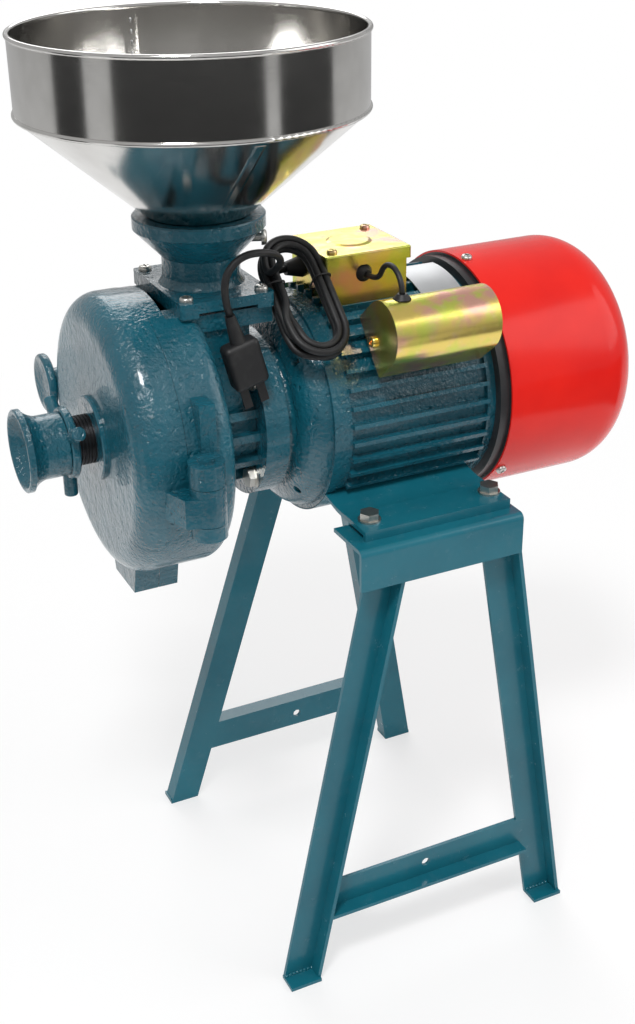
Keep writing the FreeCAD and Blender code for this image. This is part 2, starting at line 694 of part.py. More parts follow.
def fan_cover():
    """The fan cover: a pressed bowl with rows of air slots in its end."""
    r = FAN_COVER_R
    sheet = FAN_COVER_SHEET
    x0 = FAN_COVER_X0
    x1 = FAN_COVER_X1
    q = FAN_COVER_ROUND
    outer_mid = arc_mid((x1 - q, r - q), q, 45)
    inner_mid = arc_mid((x1 - q, r - q), q - sheet, 45)
    outline = [(x0, r - sheet), (x0, r), (x1 - q, r), outer_mid, (x1, r - q), (x1, 0),
               (x1 - sheet, 0), (x1 - sheet, r - q), inner_mid, (x1 - q, r - sheet)]
    bowl = turned(outline)
    cuts = []
    for row, count in ((18.0, 6), (30.0, 9), (42.0, 12), (54.0, 15)):
        slot = box(x1 - 3 * sheet, x1 + 1, -0.36 * 2 * math.pi * row / count,
                   0.36 * 2 * math.pi * row / count, AXIS_Z + row - 2.5, AXIS_Z + row + 2.5)
        cuts += ringed(slot, count)
    for angle in FAN_SCREW_ANGLES:
        cuts.append(cyl_at_angle(angle, r - 3, r + 3, FAN_SCREW_R + HOLE_OVER_BOLT))
    return bowl.cut(Part.makeCompound(cuts))


def fan_cover_screws():
    """The three screws that hold the fan cover."""
    screws = []
    for angle in FAN_SCREW_ANGLES:
        seat = on_motor(angle, FAN_COVER_R, FAN_SCREW_X)
        outward = on_motor(angle, FAN_COVER_R + 1, FAN_SCREW_X) - seat
        screws.append(aimed(pan_screw(FAN_SCREW_R, 8), seat + outward * 0.1, outward))
    return screws


def motor_shaft():
    """The one shaft that carries rotor, fan, auger and rotating disc."""
    front = FRONT_BEARING_X
    rear = REAR_BEARING_X + BEARING_WIDTH
    seat = BEARING_BORE_R
    steps = [(SHAFT_REAR_X, 0), (SHAFT_REAR_X, SHAFT_REAR_R), (rear, SHAFT_REAR_R), (rear, seat),
             (REAR_BEARING_X, seat), (REAR_BEARING_X, SHAFT_R), (front + BEARING_WIDTH, SHAFT_R),
             (front + BEARING_WIDTH, seat), (front - 1, seat), (front - 1, SHAFT_MILL_R),
             (disc_x()[0] + 4, SHAFT_MILL_R), (disc_x()[0] + 4, SHAFT_NOSE_R),
             (shaft_nose_x(), SHAFT_NOSE_R), (shaft_nose_x(), 0)]
    shaft = turned(steps)
    dimple = Part.makeSphere(THRUST_BALL_R + SLIDE_GAP, thrust_centre())
    return shaft.cut(dimple)


def disc_x():
    """Where the rotating disc lies along the shaft."""
    back = BACK_WALL_X - DISC_THICK - DISC_GAP
    return back - DISC_THICK, back


def shaft_nose_x():
    """The end of the shaft, in front of the rotating disc."""
    return disc_x()[0] - 8.0


def thrust_centre():
    """The middle of the thrust ball, half sunk into the end of the shaft."""
    return V(shaft_nose_x() - 1.5, 0, AXIS_Z)


def rotor_core():
    """The rotor on the shaft, with its cast end rings."""
    core = cyl_x(CORE_X0, CORE_X1, CORE_BORE_R - AIR_GAP)
    rings = [cyl_x(CORE_X0 - 6, CORE_X0, CORE_BORE_R - 6), cyl_x(CORE_X1, CORE_X1 + 6, CORE_BORE_R - 6)]
    body = fused(core, *rings)
    return body.cut(cyl_x(CORE_X0 - 10, CORE_X1 + 10, SHAFT_R + SEAT_FIT))


def nameplate():
    """A blank plate bent over the fins, between the terminal box and the fan cover."""
    plate = cyl_x(38, 72, FIN_R + 0.9).cut(cyl_x(38, 72, FIN_R + 0.1))
    reach = 2 * FIN_R
    a0 = math.radians(-4)
    a1 = math.radians(26)
    wedge = prism_x([(0, AXIS_Z), (-reach * math.sin(a0), AXIS_Z + reach * math.cos(a0)),
                     (-reach * math.sin(a1), AXIS_Z + reach * math.cos(a1))], 38, 72)
    return plate.common(wedge)


# ================================================================ terminal box and capacitor
def terminal_box():
    """The box: a base plate on the frame's pad and four walls, notched for the frame."""
    x0, x1, y0, y1 = BOX_X0 + 1, BOX_X1 - 1, BOX_Y0 + 1, BOX_Y1 - 1
    sheet = BOX_SHEET
    top = BOX_TOP_Z - sheet - 0.1
    shell = box(x0, x1, y0, y1, BOX_FOOT_Z, top)
    shell = shell.cut(box(x0 + sheet, x1 - sheet, y0 + sheet, y1 - sheet, BOX_FOOT_Z + sheet, top + 1))
    shell = shell.cut(cyl_x(x0 - 1, x0 + 5, GLAND_R, GLAND_Y, GLAND_Z))
    window = cyl_z(BOX_FOOT_Z - 1, BOX_FOOT_Z + 5, 9, (BOX_X0 + BOX_X1) / 2, (BOX_Y0 + BOX_Y1) / 2)
    lead_hole = cyl_y(y0 - 1, y0 + 5, LEAD_GLAND_R, LEAD_X, LEAD_Z)
    return fused(shell, *lid_posts()).cut(Part.makeCompound([window, lead_hole] + lid_screw_holes()))


LID_SCREW_R = 2.0
GLAND_Y = 12.0
GLAND_Z = 541.0
GLAND_R = 5.5
LEAD_X = CAP_X0 + 16.0
LEAD_Z = 544.0
LEAD_GLAND_R = 4.0
LEAD_D = 4.0


def lid_screw_places():
    """The two lid screws, at opposite corners."""
    return [(BOX_X0 + 7.5, BOX_Y0 + 7.5), (BOX_X1 - 7.5, BOX_Y1 - 7.5)]


def lid_posts():
    """The two posts inside the box that the lid screws turn into."""
    return [cyl_z(BOX_FOOT_Z, BOX_TOP_Z - BOX_SHEET - 0.1, 5.2, x, y) for x, y in lid_screw_places()]


def lid_screw_holes():
    """The holes in those posts."""
    return [cyl_z(BOX_FOOT_Z + 4, BOX_TOP_Z + 1, LID_SCREW_R + SEAT_FIT, x, y)
            for x, y in lid_screw_places()]


def terminal_lid():
    """The lid: a shallow tray with a raised field and a lip over the walls."""
    sheet = BOX_SHEET
    lid = box(BOX_X0 - sheet, BOX_X1 + sheet, BOX_Y0 - sheet, BOX_Y1 + sheet, BOX_TOP_Z - LID_LIP, BOX_TOP_Z)
    edges = [e for e in lid.Edges if abs(e.CenterOfMass.z - BOX_TOP_Z) < 1e-6]
    corners = [e for e in lid.Edges if e.Length < LID_LIP + 0.1]
    lid = lid.makeFillet(1.2, edges + corners)
    lid = lid.cut(box(BOX_X0, BOX_X1, BOX_Y0, BOX_Y1, BOX_TOP_Z - LID_LIP - 1, BOX_TOP_Z - sheet))
    middle_x = (BOX_X0 + BOX_X1) / 2
    middle_y = (BOX_Y0 + BOX_Y1) / 2
    field = Part.makeCone(17, 14.5, 1.0, V(middle_x, middle_y, BOX_TOP_Z - 0.01), Z_AXIS)
    lid = fused(lid, field)
    holes = [cyl_z(BOX_TOP_Z - 3, BOX_TOP_Z + 3, LID_SCREW_R + HOLE_OVER_BOLT, x, y)
             for x, y in lid_screw_places()]
    return lid.cut(Part.makeCompound(holes))


def terminal_block():
    """The terminal block inside the box, with its six studs."""
    x0, x1 = BOX_X0 + 14, BOX_X1 - 8
    y0, y1 = BOX_Y0 + 20, BOX_Y1 - 20
    base = BOX_FOOT_Z + BOX_SHEET
    block = box(x0, x1, y0, y1, base, base + 9).cut(
        box(x0 + 14, x0 + 32, y0 + 1.5, y1 - 1.5, base - 1, base + 10))
    studs = []
    for i in range(3):
        for y in (y0 + 5, y1 - 5):
            x = x0 + 5 + i * (x1 - x0 - 10) / 2
            studs.append(cyl_z(base + 8, base + 16, 2, x, y))
    solid_studs = [s for s in studs if block.distToShape(s)[0] < 0.01]
    return fused(block, *solid_studs)


def capacitor_frame(shape):
    """Turns a piece that was built straight above the motor axis to the capacitor's place."""
    return spun(shape, CAP_ANGLE)


def capacitor_cover():
    """The half-round cover: a bent sheet with closed ends and a flange along each side."""
    r = CAP_COVER_R
    base = AXIS_Z + CAP_AXIS_R - r
    centre = AXIS_Z + CAP_AXIS_R
    sheet = CAP_SHEET

    def shape(inset, z0):
        ends = box(CAP_X0 + inset, CAP_X1 - inset, -r + inset, r - inset, z0, centre)
        round_top = cyl_x(CAP_X0 + inset, CAP_X1 - inset, r - inset, 0, centre)
        return fused(ends, round_top)

    cover = shape(0, base).cut(shape(sheet, base - 1))
    clamp_hole = cyl_x(CAP_X0 - 1, CAP_X0 + 5, 2.2 + HOLE_OVER_BOLT, 0, base + 10)
    middle = capacitor_centre()
    lead_hole = cyl_z(middle.z + r - 10, middle.z + r + 10, LEAD_GLAND_R, LEAD_X, middle.y)
    return capacitor_frame(cover.cut(clamp_hole)).cut(lead_hole)


def capacitor():
    """The round capacitor inside its cover, with two blade terminals."""
    centre = AXIS_Z + CAP_AXIS_R
    can = cyl_x(CAP_X0 + 22, CAP_X1 - 4, CAP_R, 0, centre)
    edge = [e for e in can.Edges if abs(e.CenterOfMass.x - (CAP_X1 - 4)) < 1e-6]
    can = can.makeFillet(2.5, edge)
    blades = [box(CAP_X0 + 15, CAP_X0 + 23, y - 3, y + 3, centre - 0.5, centre + 0.5) for y in (-8, 8)]
    return capacitor_frame(fused(can, *blades))


def capacitor_bracket():
    """The strap under the capacitor, with a lug that the cover's screw turns into."""
    base = AXIS_Z + CAP_AXIS_R - CAP_COVER_R
    strap = box(CAP_X0 + CAP_SHEET + 0.2, CAP_X1 - CAP_SHEET - 0.2, -CAP_COVER_R + CAP_SHEET + 0.2,
                CAP_COVER_R - CAP_SHEET - 0.2, base, base + 1.5)
    saddle = box(CAP_X0 + 20, CAP_X1 - 15, -12, 12, base + 1.5, base + 8)
    saddle = saddle.cut(cyl_x(CAP_X0, CAP_X1, CAP_R + 0.1, 0, AXIS_Z + CAP_AXIS_R))
    lug = box(CAP_X0 + CAP_SHEET + 0.2, CAP_X0 + CAP_SHEET + 3.2, -7, 7, base, base + 17)
    lug = lug.cut(cyl_x(CAP_X0, CAP_X0 + 10, 2.2 + SEAT_FIT, 0, base + 10))
    return capacitor_frame(fused(strap, saddle, lug))


def capacitor_screw():
    """The screw in the end of the capacitor cover."""
    base = AXIS_Z + CAP_AXIS_R - CAP_COVER_R
    screw = aimed(pan_screw(2.2, 7), V(CAP_X0 - 0.1, 0, base + 10), V(-1, 0, 0))
    return capacitor_frame(screw)


def capacitor_centre():
    """The middle of the capacitor at the lead's place along the shaft."""
    return on_motor(CAP_ANGLE, CAP_AXIS_R, LEAD_X)


def lead_route():
    """The capacitor lead: out of the box's hinge-side wall, over and down into the cover."""
    entry = capacitor_centre() + V(0, 0, CAP_COVER_R + 3.0)
    return [V(LEAD_X, BOX_Y0 - 4.0, LEAD_Z), V(LEAD_X, -54.9, LEAD_Z), V(LEAD_X, -63.2, 558.6),
            V(LEAD_X, -78.0, 561.2), V(LEAD_X, entry.y, 551.7), entry]


def glands():
    """The rubber gland of the power cord and the two of the capacitor lead."""
    cord_gland = turned_gland(V(BOX_X0 + 1, GLAND_Y, GLAND_Z), V(-1, 0, 0), GLAND_R, CORD_D, 13)
    box_gland = turned_gland(V(LEAD_X, BOX_Y0 + 1, LEAD_Z), V(0, -1, 0), LEAD_GLAND_R, LEAD_D, 5)
    seat = capacitor_centre() + V(0, 0, CAP_COVER_R + 0.05)
    cap_gland = turned_gland(seat, Z_AXIS, LEAD_GLAND_R, LEAD_D, 3.5)
    return cord_gland, box_gland, cap_gland


def turned_gland(origin, direction, r, bore_d, height):
    """A tapered sleeve with a collar outside and a plug through the wall."""
    collar = Part.makeCone(r + 2.5, r - 0.6, height, V(0, 0, 0), Z_AXIS)
    stem = Part.makeCylinder(r - SEAT_FIT, 4, V(0, 0, -4), Z_AXIS)
    sleeve = fused(collar, stem).cut(Part.makeCylinder(bore_d / 2 + CORD_IN_GLAND, height + 10, V(0, 0, -6)))
    return aimed(sleeve, origin, direction)


# ================================================================ mill body and cover
def drum_outline(x_front, x_back, r, back_round):
    """The outline of a drum that is rounded at its back."""
    middle = arc_mid((x_back - back_round, r - back_round), back_round, 45)
    return [(x_front, 0), (x_front, r), (x_back - back_round, r), middle, (x_back, r - back_round),
            (x_back, 0)]


def chute(x0, x1, inset, bottom, top):
    """The outlet's outline between two stations, tapering downwards."""
    half_top = CHUTE_HALF_TOP - inset
    half_bottom = CHUTE_HALF_BOTTOM - inset
    return prism_x([(-half_bottom, bottom), (half_bottom, bottom), (half_top, top), (-half_top, top)],
                   x0, x1)


def ear(x0, x1):
    """An ear for the lock screw, with a web back to the drum."""
    eye = cyl_x(x0, x1, LOCK_EAR_R, LOCK_Y, LOCK_Z)
    web = prism_x([(LOCK_Y, LOCK_Z - LOCK_EAR_R), (LOCK_Y, LOCK_Z + LOCK_EAR_R),
                   (DRUM_R * 0.86, LOCK_Z + 1.7 * LOCK_EAR_R), (DRUM_R * 0.86, LOCK_Z - 1.7 * LOCK_EAR_R)],
                  x0, x1)
    return fused(eye, web)


def knuckle(z0, z1):
    """One barrel of the hinge."""
    return cyl_z(z0, z1, KNUCKLE_R, HINGE_X, HINGE_Y)


def mill_body():
    """The cast body: drum, feed box under the neck, feed tube and the flange to the motor."""
    flange_x0 = SHIELD_X0 - ADAPTER_FLANGE
    drum = turned(drum_outline(SEAM_X, DRUM_BACK_X, DRUM_R, DRUM_BACK_ROUND))
    tube = cyl_x(DRUM_BACK_X - 1, flange_x0, FEED_TUBE_R)
    flange = cyl_x(flange_x0, SHIELD_X0, SHIELD_FLANGE_R)
    feed_box = fused(box(NECK_X - PAD_HALF_X + 4, flange_x0 - 9, -PAD_HALF_Y + 3, PAD_HALF_Y - 3,
                         AXIS_Z, PAD_Z),
                     box(flange_x0 - 10, flange_x0 + 4, -THROAT_HALF - 8, THROAT_HALF + 8, AXIS_Z, PAD_Z))
    pad = box(NECK_FLANGE_X0 + 1, NECK_FLANGE_X1 - 1, -PAD_HALF_Y, PAD_HALF_Y, PAD_Z - 12, PAD_Z)
    rib = box(DRUM_BACK_X - 1, flange_x0 + 1, -3, 3, AXIS_Z + FEED_TUBE_R - 4, AXIS_Z + FEED_TUBE_R + 7)
    ribs = [spun(rib, angle) for angle in (72, 92, 118, 150, 180, 210, 242, 268, 288)]
    outlet = chute(SEAM_X, CHUTE_X1, 0, CHUTE_BOTTOM_Z, CHUTE_TOP_Z)
    ear_block = ear(SEAM_X, SEAM_X + LOCK_EAR)
    low, mid_low, mid_high, high = KNUCKLE_Z
    lugs = []
    for z0, z1 in ((low, mid_low - FACE_GAP), (mid_high + FACE_GAP, high)):
        lugs.append(knuckle(z0, z1))
        lugs.append(box(HINGE_X, HINGE_X + KNUCKLE_R, HINGE_Y, -DRUM_R * 0.88, z0, z1))
    shoulder = box(HINGE_X + 1, HINGE_X + KNUCKLE_R, -DRUM_R - 2.5, -DRUM_R * 0.8, high - 1, high + 34)
    body = fused(drum, tube, flange, feed_box, pad, outlet, ear_block, shoulder, *(ribs + lugs))

    cavity = cyl_x(SEAM_X - 1, BACK_WALL_X, DRUM_R - DRUM_WALL)
    hollow_back = turned([(BACK_WALL_X - 1, DRUM_R - DRUM_WALL), (BACK_WALL_X - 1, DISC_R + 3),
                          (BACK_WALL_X + 6, DISC_R + 3), (BACK_WALL_X + 6, DRUM_R - DRUM_BACK_ROUND - 4),
                          (BACK_WALL_X, DRUM_R - DRUM_WALL)])
    feed_bore = cyl_x(BACK_WALL_X - 1, flange_x0 - 4, FEED_BORE_R)
    seal_seat = cyl_x(flange_x0 - 5, SHIELD_X0 - 2, SEAL_R + SEAT_FIT)
    bearing_room = cyl_x(SHIELD_X0 - 3, SHIELD_X0 + 1, BEARING_BORE_R + 4)
    throat = box(NECK_X - THROAT_HALF, NECK_X + THROAT_HALF, -THROAT_HALF, THROAT_HALF, AXIS_Z, PAD_Z + 1)
    notch = box(SEAM_X + 11, NECK_FLANGE_X1 + 1, -DRUM_R, DRUM_R, PAD_Z, PAD_Z + 30)
    way_out = chute(SEAM_X - 1, CHUTE_X1 - CHUTE_WALL, CHUTE_WALL, CHUTE_BOTTOM_Z - 1,
                    AXIS_Z - DRUM_R + 2 * DRUM_WALL)
    lock_hole = cyl_x(SEAM_X - 1, SEAM_X + LOCK_EAR + 1, LOCK_SCREW_R + SLIDE_GAP, LOCK_Y, LOCK_Z)
    pin_hole = cyl_z(low + 2, high + 1, HINGE_PIN_R + SEAT_FIT, HINGE_X, HINGE_Y)
    bolt = cyl_x(flange_x0 - 1, SHIELD_X0 + 1, ADAPTER_BOLT_R + HOLE_OVER_BOLT, 0,
                 AXIS_Z + ADAPTER_BOLT_CIRCLE_R)
    disc_screw = cyl_x(BACK_WALL_X - 1, BACK_WALL_X + 9, DISC_SCREW_R + SEAT_FIT, 0, AXIS_Z + DISC_SCREW_CIRCLE)
    neck_holes = [cyl_z(PAD_Z - 11, PAD_Z + 1, NECK_SCREW_R + SEAT_FIT, x, y) for x, y in neck_screw_places()]
    knuckle_room = cyl_z(mid_low - FACE_GAP, mid_high + FACE_GAP, KNUCKLE_R + 1.5, HINGE_X, HINGE_Y)
    cuts = [cavity, hollow_back, feed_bore, seal_seat, bearing_room, throat, notch, way_out, lock_hole,
            pin_hole, knuckle_room] + ringed(bolt, 4, 45) + ringed(disc_screw, 3) + neck_holes
    return body.cut(Part.makeCompound(cuts))


SEAL_R = 20.0
DISC_SCREW_R = 3.0
DISC_SCREW_CIRCLE = 60.0


def neck_screw_places():
    """The four screws of the neck's flange."""
    places = []
    for x in (NECK_FLANGE_X0 + 7, NECK_FLANGE_X1 - 7):
        for y in (-NECK_FLANGE_HALF_Y + 8, NECK_FLANGE_HALF_Y - 8):
            places.append((x, y))
    return places


def shaft_seal():
    """The seal where the shaft leaves the feed tube."""
    x0 = SHIELD_X0 - ADAPTER_FLANGE - 4
    ring = cyl_x(x0, x0 + 8, SEAL_R).cut(cyl_x(x0, x0 + 8, SHAFT_MILL_R + RUN_FIT))
    return ring


def adapter_bolts():
    """The four bolts that hold the mill body to the motor, with their washers."""
    seat = V(SHIELD_X0 - ADAPTER_FLANGE, 0, AXIS_Z + ADAPTER_BOLT_CIRCLE_R)
    ring = washer(ADAPTER_BOLT_R)
    flat = aimed(ring, seat, V(-1, 0, 0))
    bolt = aimed(hex_bolt(ADAPTER_BOLT_R, ADAPTER_FLANGE + 8), seat - V(ring.BoundBox.ZMax, 0, 0), V(-1, 0, 0))
    return ringed(flat, 4, 45) + ringed(bolt, 4, 45)


def auger():
    """The feed screw on the shaft: a sleeve with one flight."""
    x0 = BACK_WALL_X - DISC_THICK + 2
    x1 = SHIELD_X0 - ADAPTER_FLANGE - 6
    root = SHAFT_MILL_R + 3
    tip = FEED_BORE_R - 1.2
    pitch = 20.0
    thick = 3.0
    sleeve = cyl_x(x0, x1, root)
    height = x1 - x0 - 6
    helix = Part.makeHelix(pitch, height, (root + tip) / 2)
    reach = (tip - root) / 2 + 0.5
    middle = (root + tip) / 2
    corners = [V(middle - reach, 0, -thick / 2), V(middle + reach - 0.5, 0, -thick / 2),
               V(middle + reach - 0.5, 0, thick / 2), V(middle - reach, 0, thick / 2)]
    profile = Part.makePolygon(corners + corners[:1])
    flight = Part.Wire(helix).makePipeShell([profile], True, True)
    flight = aimed(flight, V(x0 + 3, 0, AXIS_Z), X_AXIS)
    return fused(sleeve, flight).cut(cyl_x(x0 - 5, x1 + 5, SHAFT_MILL_R + SEAT_FIT))


def grinding_disc(x0, x1, bore, toward_plus_x):
    """A cast disc with tapered grinding ribs on one face."""
    disc = cyl_x(x0, x1, DISC_R).cut(cyl_x(x0 - 1, x1 + 1, bore))
    depth = 1.6
    face = x1 if toward_plus_x else x0
    groove_x0 = face - depth if toward_plus_x else face - 1
    groove = box(groove_x0, groove_x0 + depth + 1, -1.6, 1.6, AXIS_Z + DISC_BORE_R + 6, AXIS_Z + DISC_R + 1)
    groove.rotate(V(face, 0, AXIS_Z + DISC_R), X_AXIS, 12)
    return disc.cut(Part.makeCompound(ringed(groove, 24)))


def fixed_disc():
    """The disc that is screwed to the body."""
    x1 = BACK_WALL_X
    disc = grinding_disc(x1 - DISC_THICK, x1, DISC_BORE_R, False)
    holes = []
    for radius, x0 in ((DISC_SCREW_R + HOLE_OVER_BOLT, x1 - DISC_THICK - 1), (6.2, x1 - DISC_THICK - 1)):
        length = DISC_THICK + 2 if radius < 6 else 6
        holes += ringed(cyl_x(x0, x0 + length, radius, 0, AXIS_Z + DISC_SCREW_CIRCLE), 3)
    return disc.cut(Part.makeCompound(holes))


def fixed_disc_screws():
    """The three screws of the fixed disc, sunk below its face."""
    seat = V(BACK_WALL_X - DISC_THICK + 5, 0, AXIS_Z + DISC_SCREW_CIRCLE)
    head = fused(Part.makeCylinder(5.6, 3), Part.makeCylinder(DISC_SCREW_R, 12, V(0, 0, -12)))
    return ringed(aimed(head, seat, V(-1, 0, 0)), 3)


def rotating_disc():
    """The disc that turns with the shaft, with a hub for its drive pin."""
    x0, x1 = disc_x()
    disc = grinding_disc(x0, x1, SHAFT_NOSE_R + SEAT_FIT, True)
    hub = cyl_x(x0 - 4, x0 + 1, 17).cut(cyl_x(x0 - 5, x0 + 2, SHAFT_NOSE_R + SEAT_FIT))
    step = cyl_x(x0 + 4, x1 + 1, SHAFT_MILL_R + SEAT_FIT)
    pin_hole = cyl_y(-20, 20, DRIVE_PIN_R + SEAT_FIT, x0 - 1, AXIS_Z)
    return fused(disc, hub).cut(Part.makeCompound([step, pin_hole]))


DRIVE_PIN_R = 2.0


def drive_pin():
    """The cross pin that turns the disc, on both sides of the shaft."""
    x0 = disc_x()[0] - 1
    return [cyl_y(SHAFT_NOSE_R, 16.5, DRIVE_PIN_R, x0, AXIS_Z), cyl_y(-16.5, -SHAFT_NOSE_R, DRIVE_PIN_R, x0, AXIS_Z)]


def cover():
    """The hinged front cover: a rounded dish with boss, half of the outlet, an ear and an arm."""
    seam = SEAM_X - FACE_GAP
    face = COVER_FACE_X
    r = DRUM_R + 0.5
    q = COVER_ROUND
    wall = COVER_WALL
    outer_mid = arc_mid((face + q, r - q), q, 135)
    inner_mid = arc_mid((face + q, r - q), q - wall, 135)
    shell = turned([(seam, r - wall), (seam, r), (face + q, r), outer_mid, (face, r - q), (face, 0),
                    (face + wall, 0), (face + wall, r - q), inner_mid, (face + q, r - wall)])
    boss = turned([(face + 1, 0), (face + 1, BOSS_R), (face - BOSS_HEIGHT + 1, BOSS_R),
                   (face - BOSS_HEIGHT, BOSS_R - 1), (face - BOSS_HEIGHT, 0)])
    inner_boss = cyl_x(face + wall - 1, face + wall + 10, BOSS_R - 4)
    outlet = chute(CHUTE_X0, seam, 0, CHUTE_BOTTOM_Z, CHUTE_TOP_Z)
    ear_block = ear(seam - COVER_EAR, seam)
    low, mid_low, mid_high, high = KNUCKLE_Z
    barrel = knuckle(mid_low, mid_high)
    arm_back = HINGE_X - KNUCKLE_R
    arm = prism_of_plan([(HINGE_X - 2, HINGE_Y - KNUCKLE_R + 1), (arm_back - 6, HINGE_Y - KNUCKLE_R + 7),
                         (arm_back - 16, -DRUM_R * 0.9), (arm_back + 3, -DRUM_R * 0.9),
                         (arm_back + 3, HINGE_Y + 8), (HINGE_X - 3, HINGE_Y + 6)],
                        mid_low, mid_high - 6)
    solid = fused(shell, boss, inner_boss, outlet, ear_block, barrel, arm)

    way_out = chute(CHUTE_X0 + CHUTE_WALL, seam + 1, CHUTE_WALL, CHUTE_BOTTOM_Z - 1,
                    AXIS_Z - DRUM_R + 2 * DRUM_WALL)
    screw_bore = cyl_x(face - 10, face + wall + 12, SCREW_R + RUN_FIT)
    lock_hole = cyl_x(seam - COVER_EAR - 1, seam + 1, LOCK_SCREW_R + SLIDE_GAP, LOCK_Y, LOCK_Z)
    washer_room = cyl_x(seam - CLIP_ROOM, seam + 1, LOCK_SCREW_R + 4.5, LOCK_Y, LOCK_Z)
    pin_hole = cyl_z(mid_low - 1, mid_high + 1, HINGE_PIN_R + RUN_FIT, HINGE_X, HINGE_Y)
    inside = turned([(seam + 1, 0), (seam + 1, r - wall), (face + q, r - wall), inner_mid,
                     (face + wall, r - q), (face + wall, 0)])
    inside = inside.cut(cyl_x(face, face + wall + 10, BOSS_R - 4))
    body = solid.cut(Part.makeCompound([way_out, screw_bore, lock_hole, washer_room, pin_hole]))
    return body.cut(inside)


def prism_of_plan(points, z0, z1):
    """A flat outline in X and Y, given height along Z."""
    corners = [V(x, y, z0) for x, y in points]
    return Part.Face(Part.makePolygon(corners + corners[:1])).extrude(V(0, 0, z1 - z0))


def hinge_pin():
    """The hinge pin, with a flat head on the top knuckle."""
    low, _, _, high = KNUCKLE_Z
    return fused(cyl_z(low + 2, high, HINGE_PIN_R, HINGE_X, HINGE_Y),
                 cyl_z(high, high + 2.5, HINGE_PIN_R + 2, HINGE_X, HINGE_Y))


def lock_screw():
    """The hand screw that clamps the cover: a dished knob, a stem and a screw."""
    seam = SEAM_X - FACE_GAP
    x0 = LOCK_KNOB_X
    x1 = x0 + LOCK_KNOB
    stem_end = seam - COVER_EAR - SLIDE_GAP
    knob = cyl_x(x0, x1, LOCK_KNOB_R, LOCK_Y, LOCK_Z)
    rim = [e for e in knob.Edges if e.Length > 10 and abs(e.CenterOfMass.x - x0) + abs(
        e.CenterOfMass.x - x1) < LOCK_KNOB + 0.1 and abs(e.Length - 2 * math.pi * LOCK_KNOB_R) < 0.1]
    knob = knob.makeFillet(2.6, rim)
    dish = Part.makeCone(LOCK_KNOB_R - 4, 8, 3, V(x0, LOCK_Y, LOCK_Z), X_AXIS)
    stem = cyl_x(x1 - 1, stem_end, LOCK_STEM_R, LOCK_Y, LOCK_Z)
    thread = cyl_x(stem_end - 1, SEAM_X + 6, LOCK_SCREW_R, LOCK_Y, LOCK_Z)
    body = fused(knob.cut(dish), stem, thread)
    groove = cyl_x(seam - 2.2, seam - 1.0, LOCK_SCREW_R + 1, LOCK_Y, LOCK_Z).cut(
        cyl_x(seam - 2.2, seam - 1.0, LOCK_SCREW_R - 1, LOCK_Y, LOCK_Z))
    return body.cut(groove)


def lock_clip():
    """The clip in the screw's groove that keeps it in the cover's ear."""
    seam = SEAM_X - FACE_GAP
    x0 = seam - 2.15
    x1 = seam - 1.05
    ring = cyl_x(x0, x1, LOCK_SCREW_R + 3.2, LOCK_Y, LOCK_Z)
    return ring.cut(cyl_x(x0 - 1, x1 + 1, LOCK_SCREW_R - 1 + RUN_FIT, LOCK_Y, LOCK_Z))


def adjusting_screw():
    """The black screw in the boss that sets the discs' gap, with its seat for the thrust ball."""
    tip = thrust_centre().x - 1.0
    x0 = KNOB_X1 - 14
    wide_end = COVER_FACE_X + COVER_WALL + 9
    body = turned([(x0, 0), (x0, SCREW_R), (wide_end, SCREW_R), (wide_end + 1.5, SCREW_R - 1.5),
                   (wide_end + 1.5, 9), (tip, 9), (tip, 0)])
    grooves = []
    x = KNOB_X1 + LOCK_RING + 2.5
    while x < COVER_FACE_X - BOSS_HEIGHT - 1:
        cut = cyl_x(x, x + 1.1, SCREW_R + 1).cut(cyl_x(x, x + 1.1, SCREW_R - 0.9))
        grooves.append(cut)
        x += SCREW_PITCH
    cup = Part.makeSphere(THRUST_BALL_R + RUN_FIT, thrust_centre())
    return body.cut(Part.makeCompound(grooves + [cup]))


def thrust_ball():
    """The ball between the adjusting screw and the end of the shaft."""
    return Part.makeSphere(THRUST_BALL_R, thrust_centre())


def adjusting_knob():
    """The cast hand knob on the adjusting screw: a barrel with a flared, hollow rim."""
    x0 = KNOB_X0
    x1 = KNOB_X1
    r = KNOB_R
    rim = KNOB_RIM_R
    bore = SCREW_R + SEAT_FIT
    screw_end = KNOB_X1 - 14
    outline = [(x0, rim - 4), (x0 - 1, rim - 2.2, "arc"), (x0, rim), (x0 + 3.5, rim),
               (x0 + 8, rim - 4.6, "arc"), (x0 + 14, r), (x1, r), (x1, bore), (screw_end, bore),
               (screw_end, 0), (screw_end - 3, 0), (screw_end - 3, 14), (x0 + 9, 19.5, "arc")]
    return turned(outline)


def lock_ring():
    """The ring nut behind the knob, with three stub handles."""
    x0 = KNOB_X1 + 0.4
    x1 = x0 + LOCK_RING
    ring = turned([(x0, SCREW_R + RUN_FIT), (x0, LOCK_RING_R - 1), (x0 + 1, LOCK_RING_R),
                   (x1 - 1, LOCK_RING_R), (x1, LOCK_RING_R - 1), (x1, SCREW_R + RUN_FIT)])
    lug = Part.makeCylinder(5.0, LOCK_RING_R + LOCK_RING_LUG - KNOB_R - 1,
                            V((x0 + x1) / 2, 0, AXIS_Z + KNOB_R + 1), Z_AXIS)
    end = [e for e in lug.Edges if abs(e.CenterOfMass.z - AXIS_Z - LOCK_RING_R - LOCK_RING_LUG) < 1e-6]
    lug = lug.makeFillet(1.5, end)
    bore = cyl_x(x0 - 5, x1 + 5, SCREW_R + RUN_FIT)
    return fused(ring, *ringed(lug, 3, 60)).cut(bore)


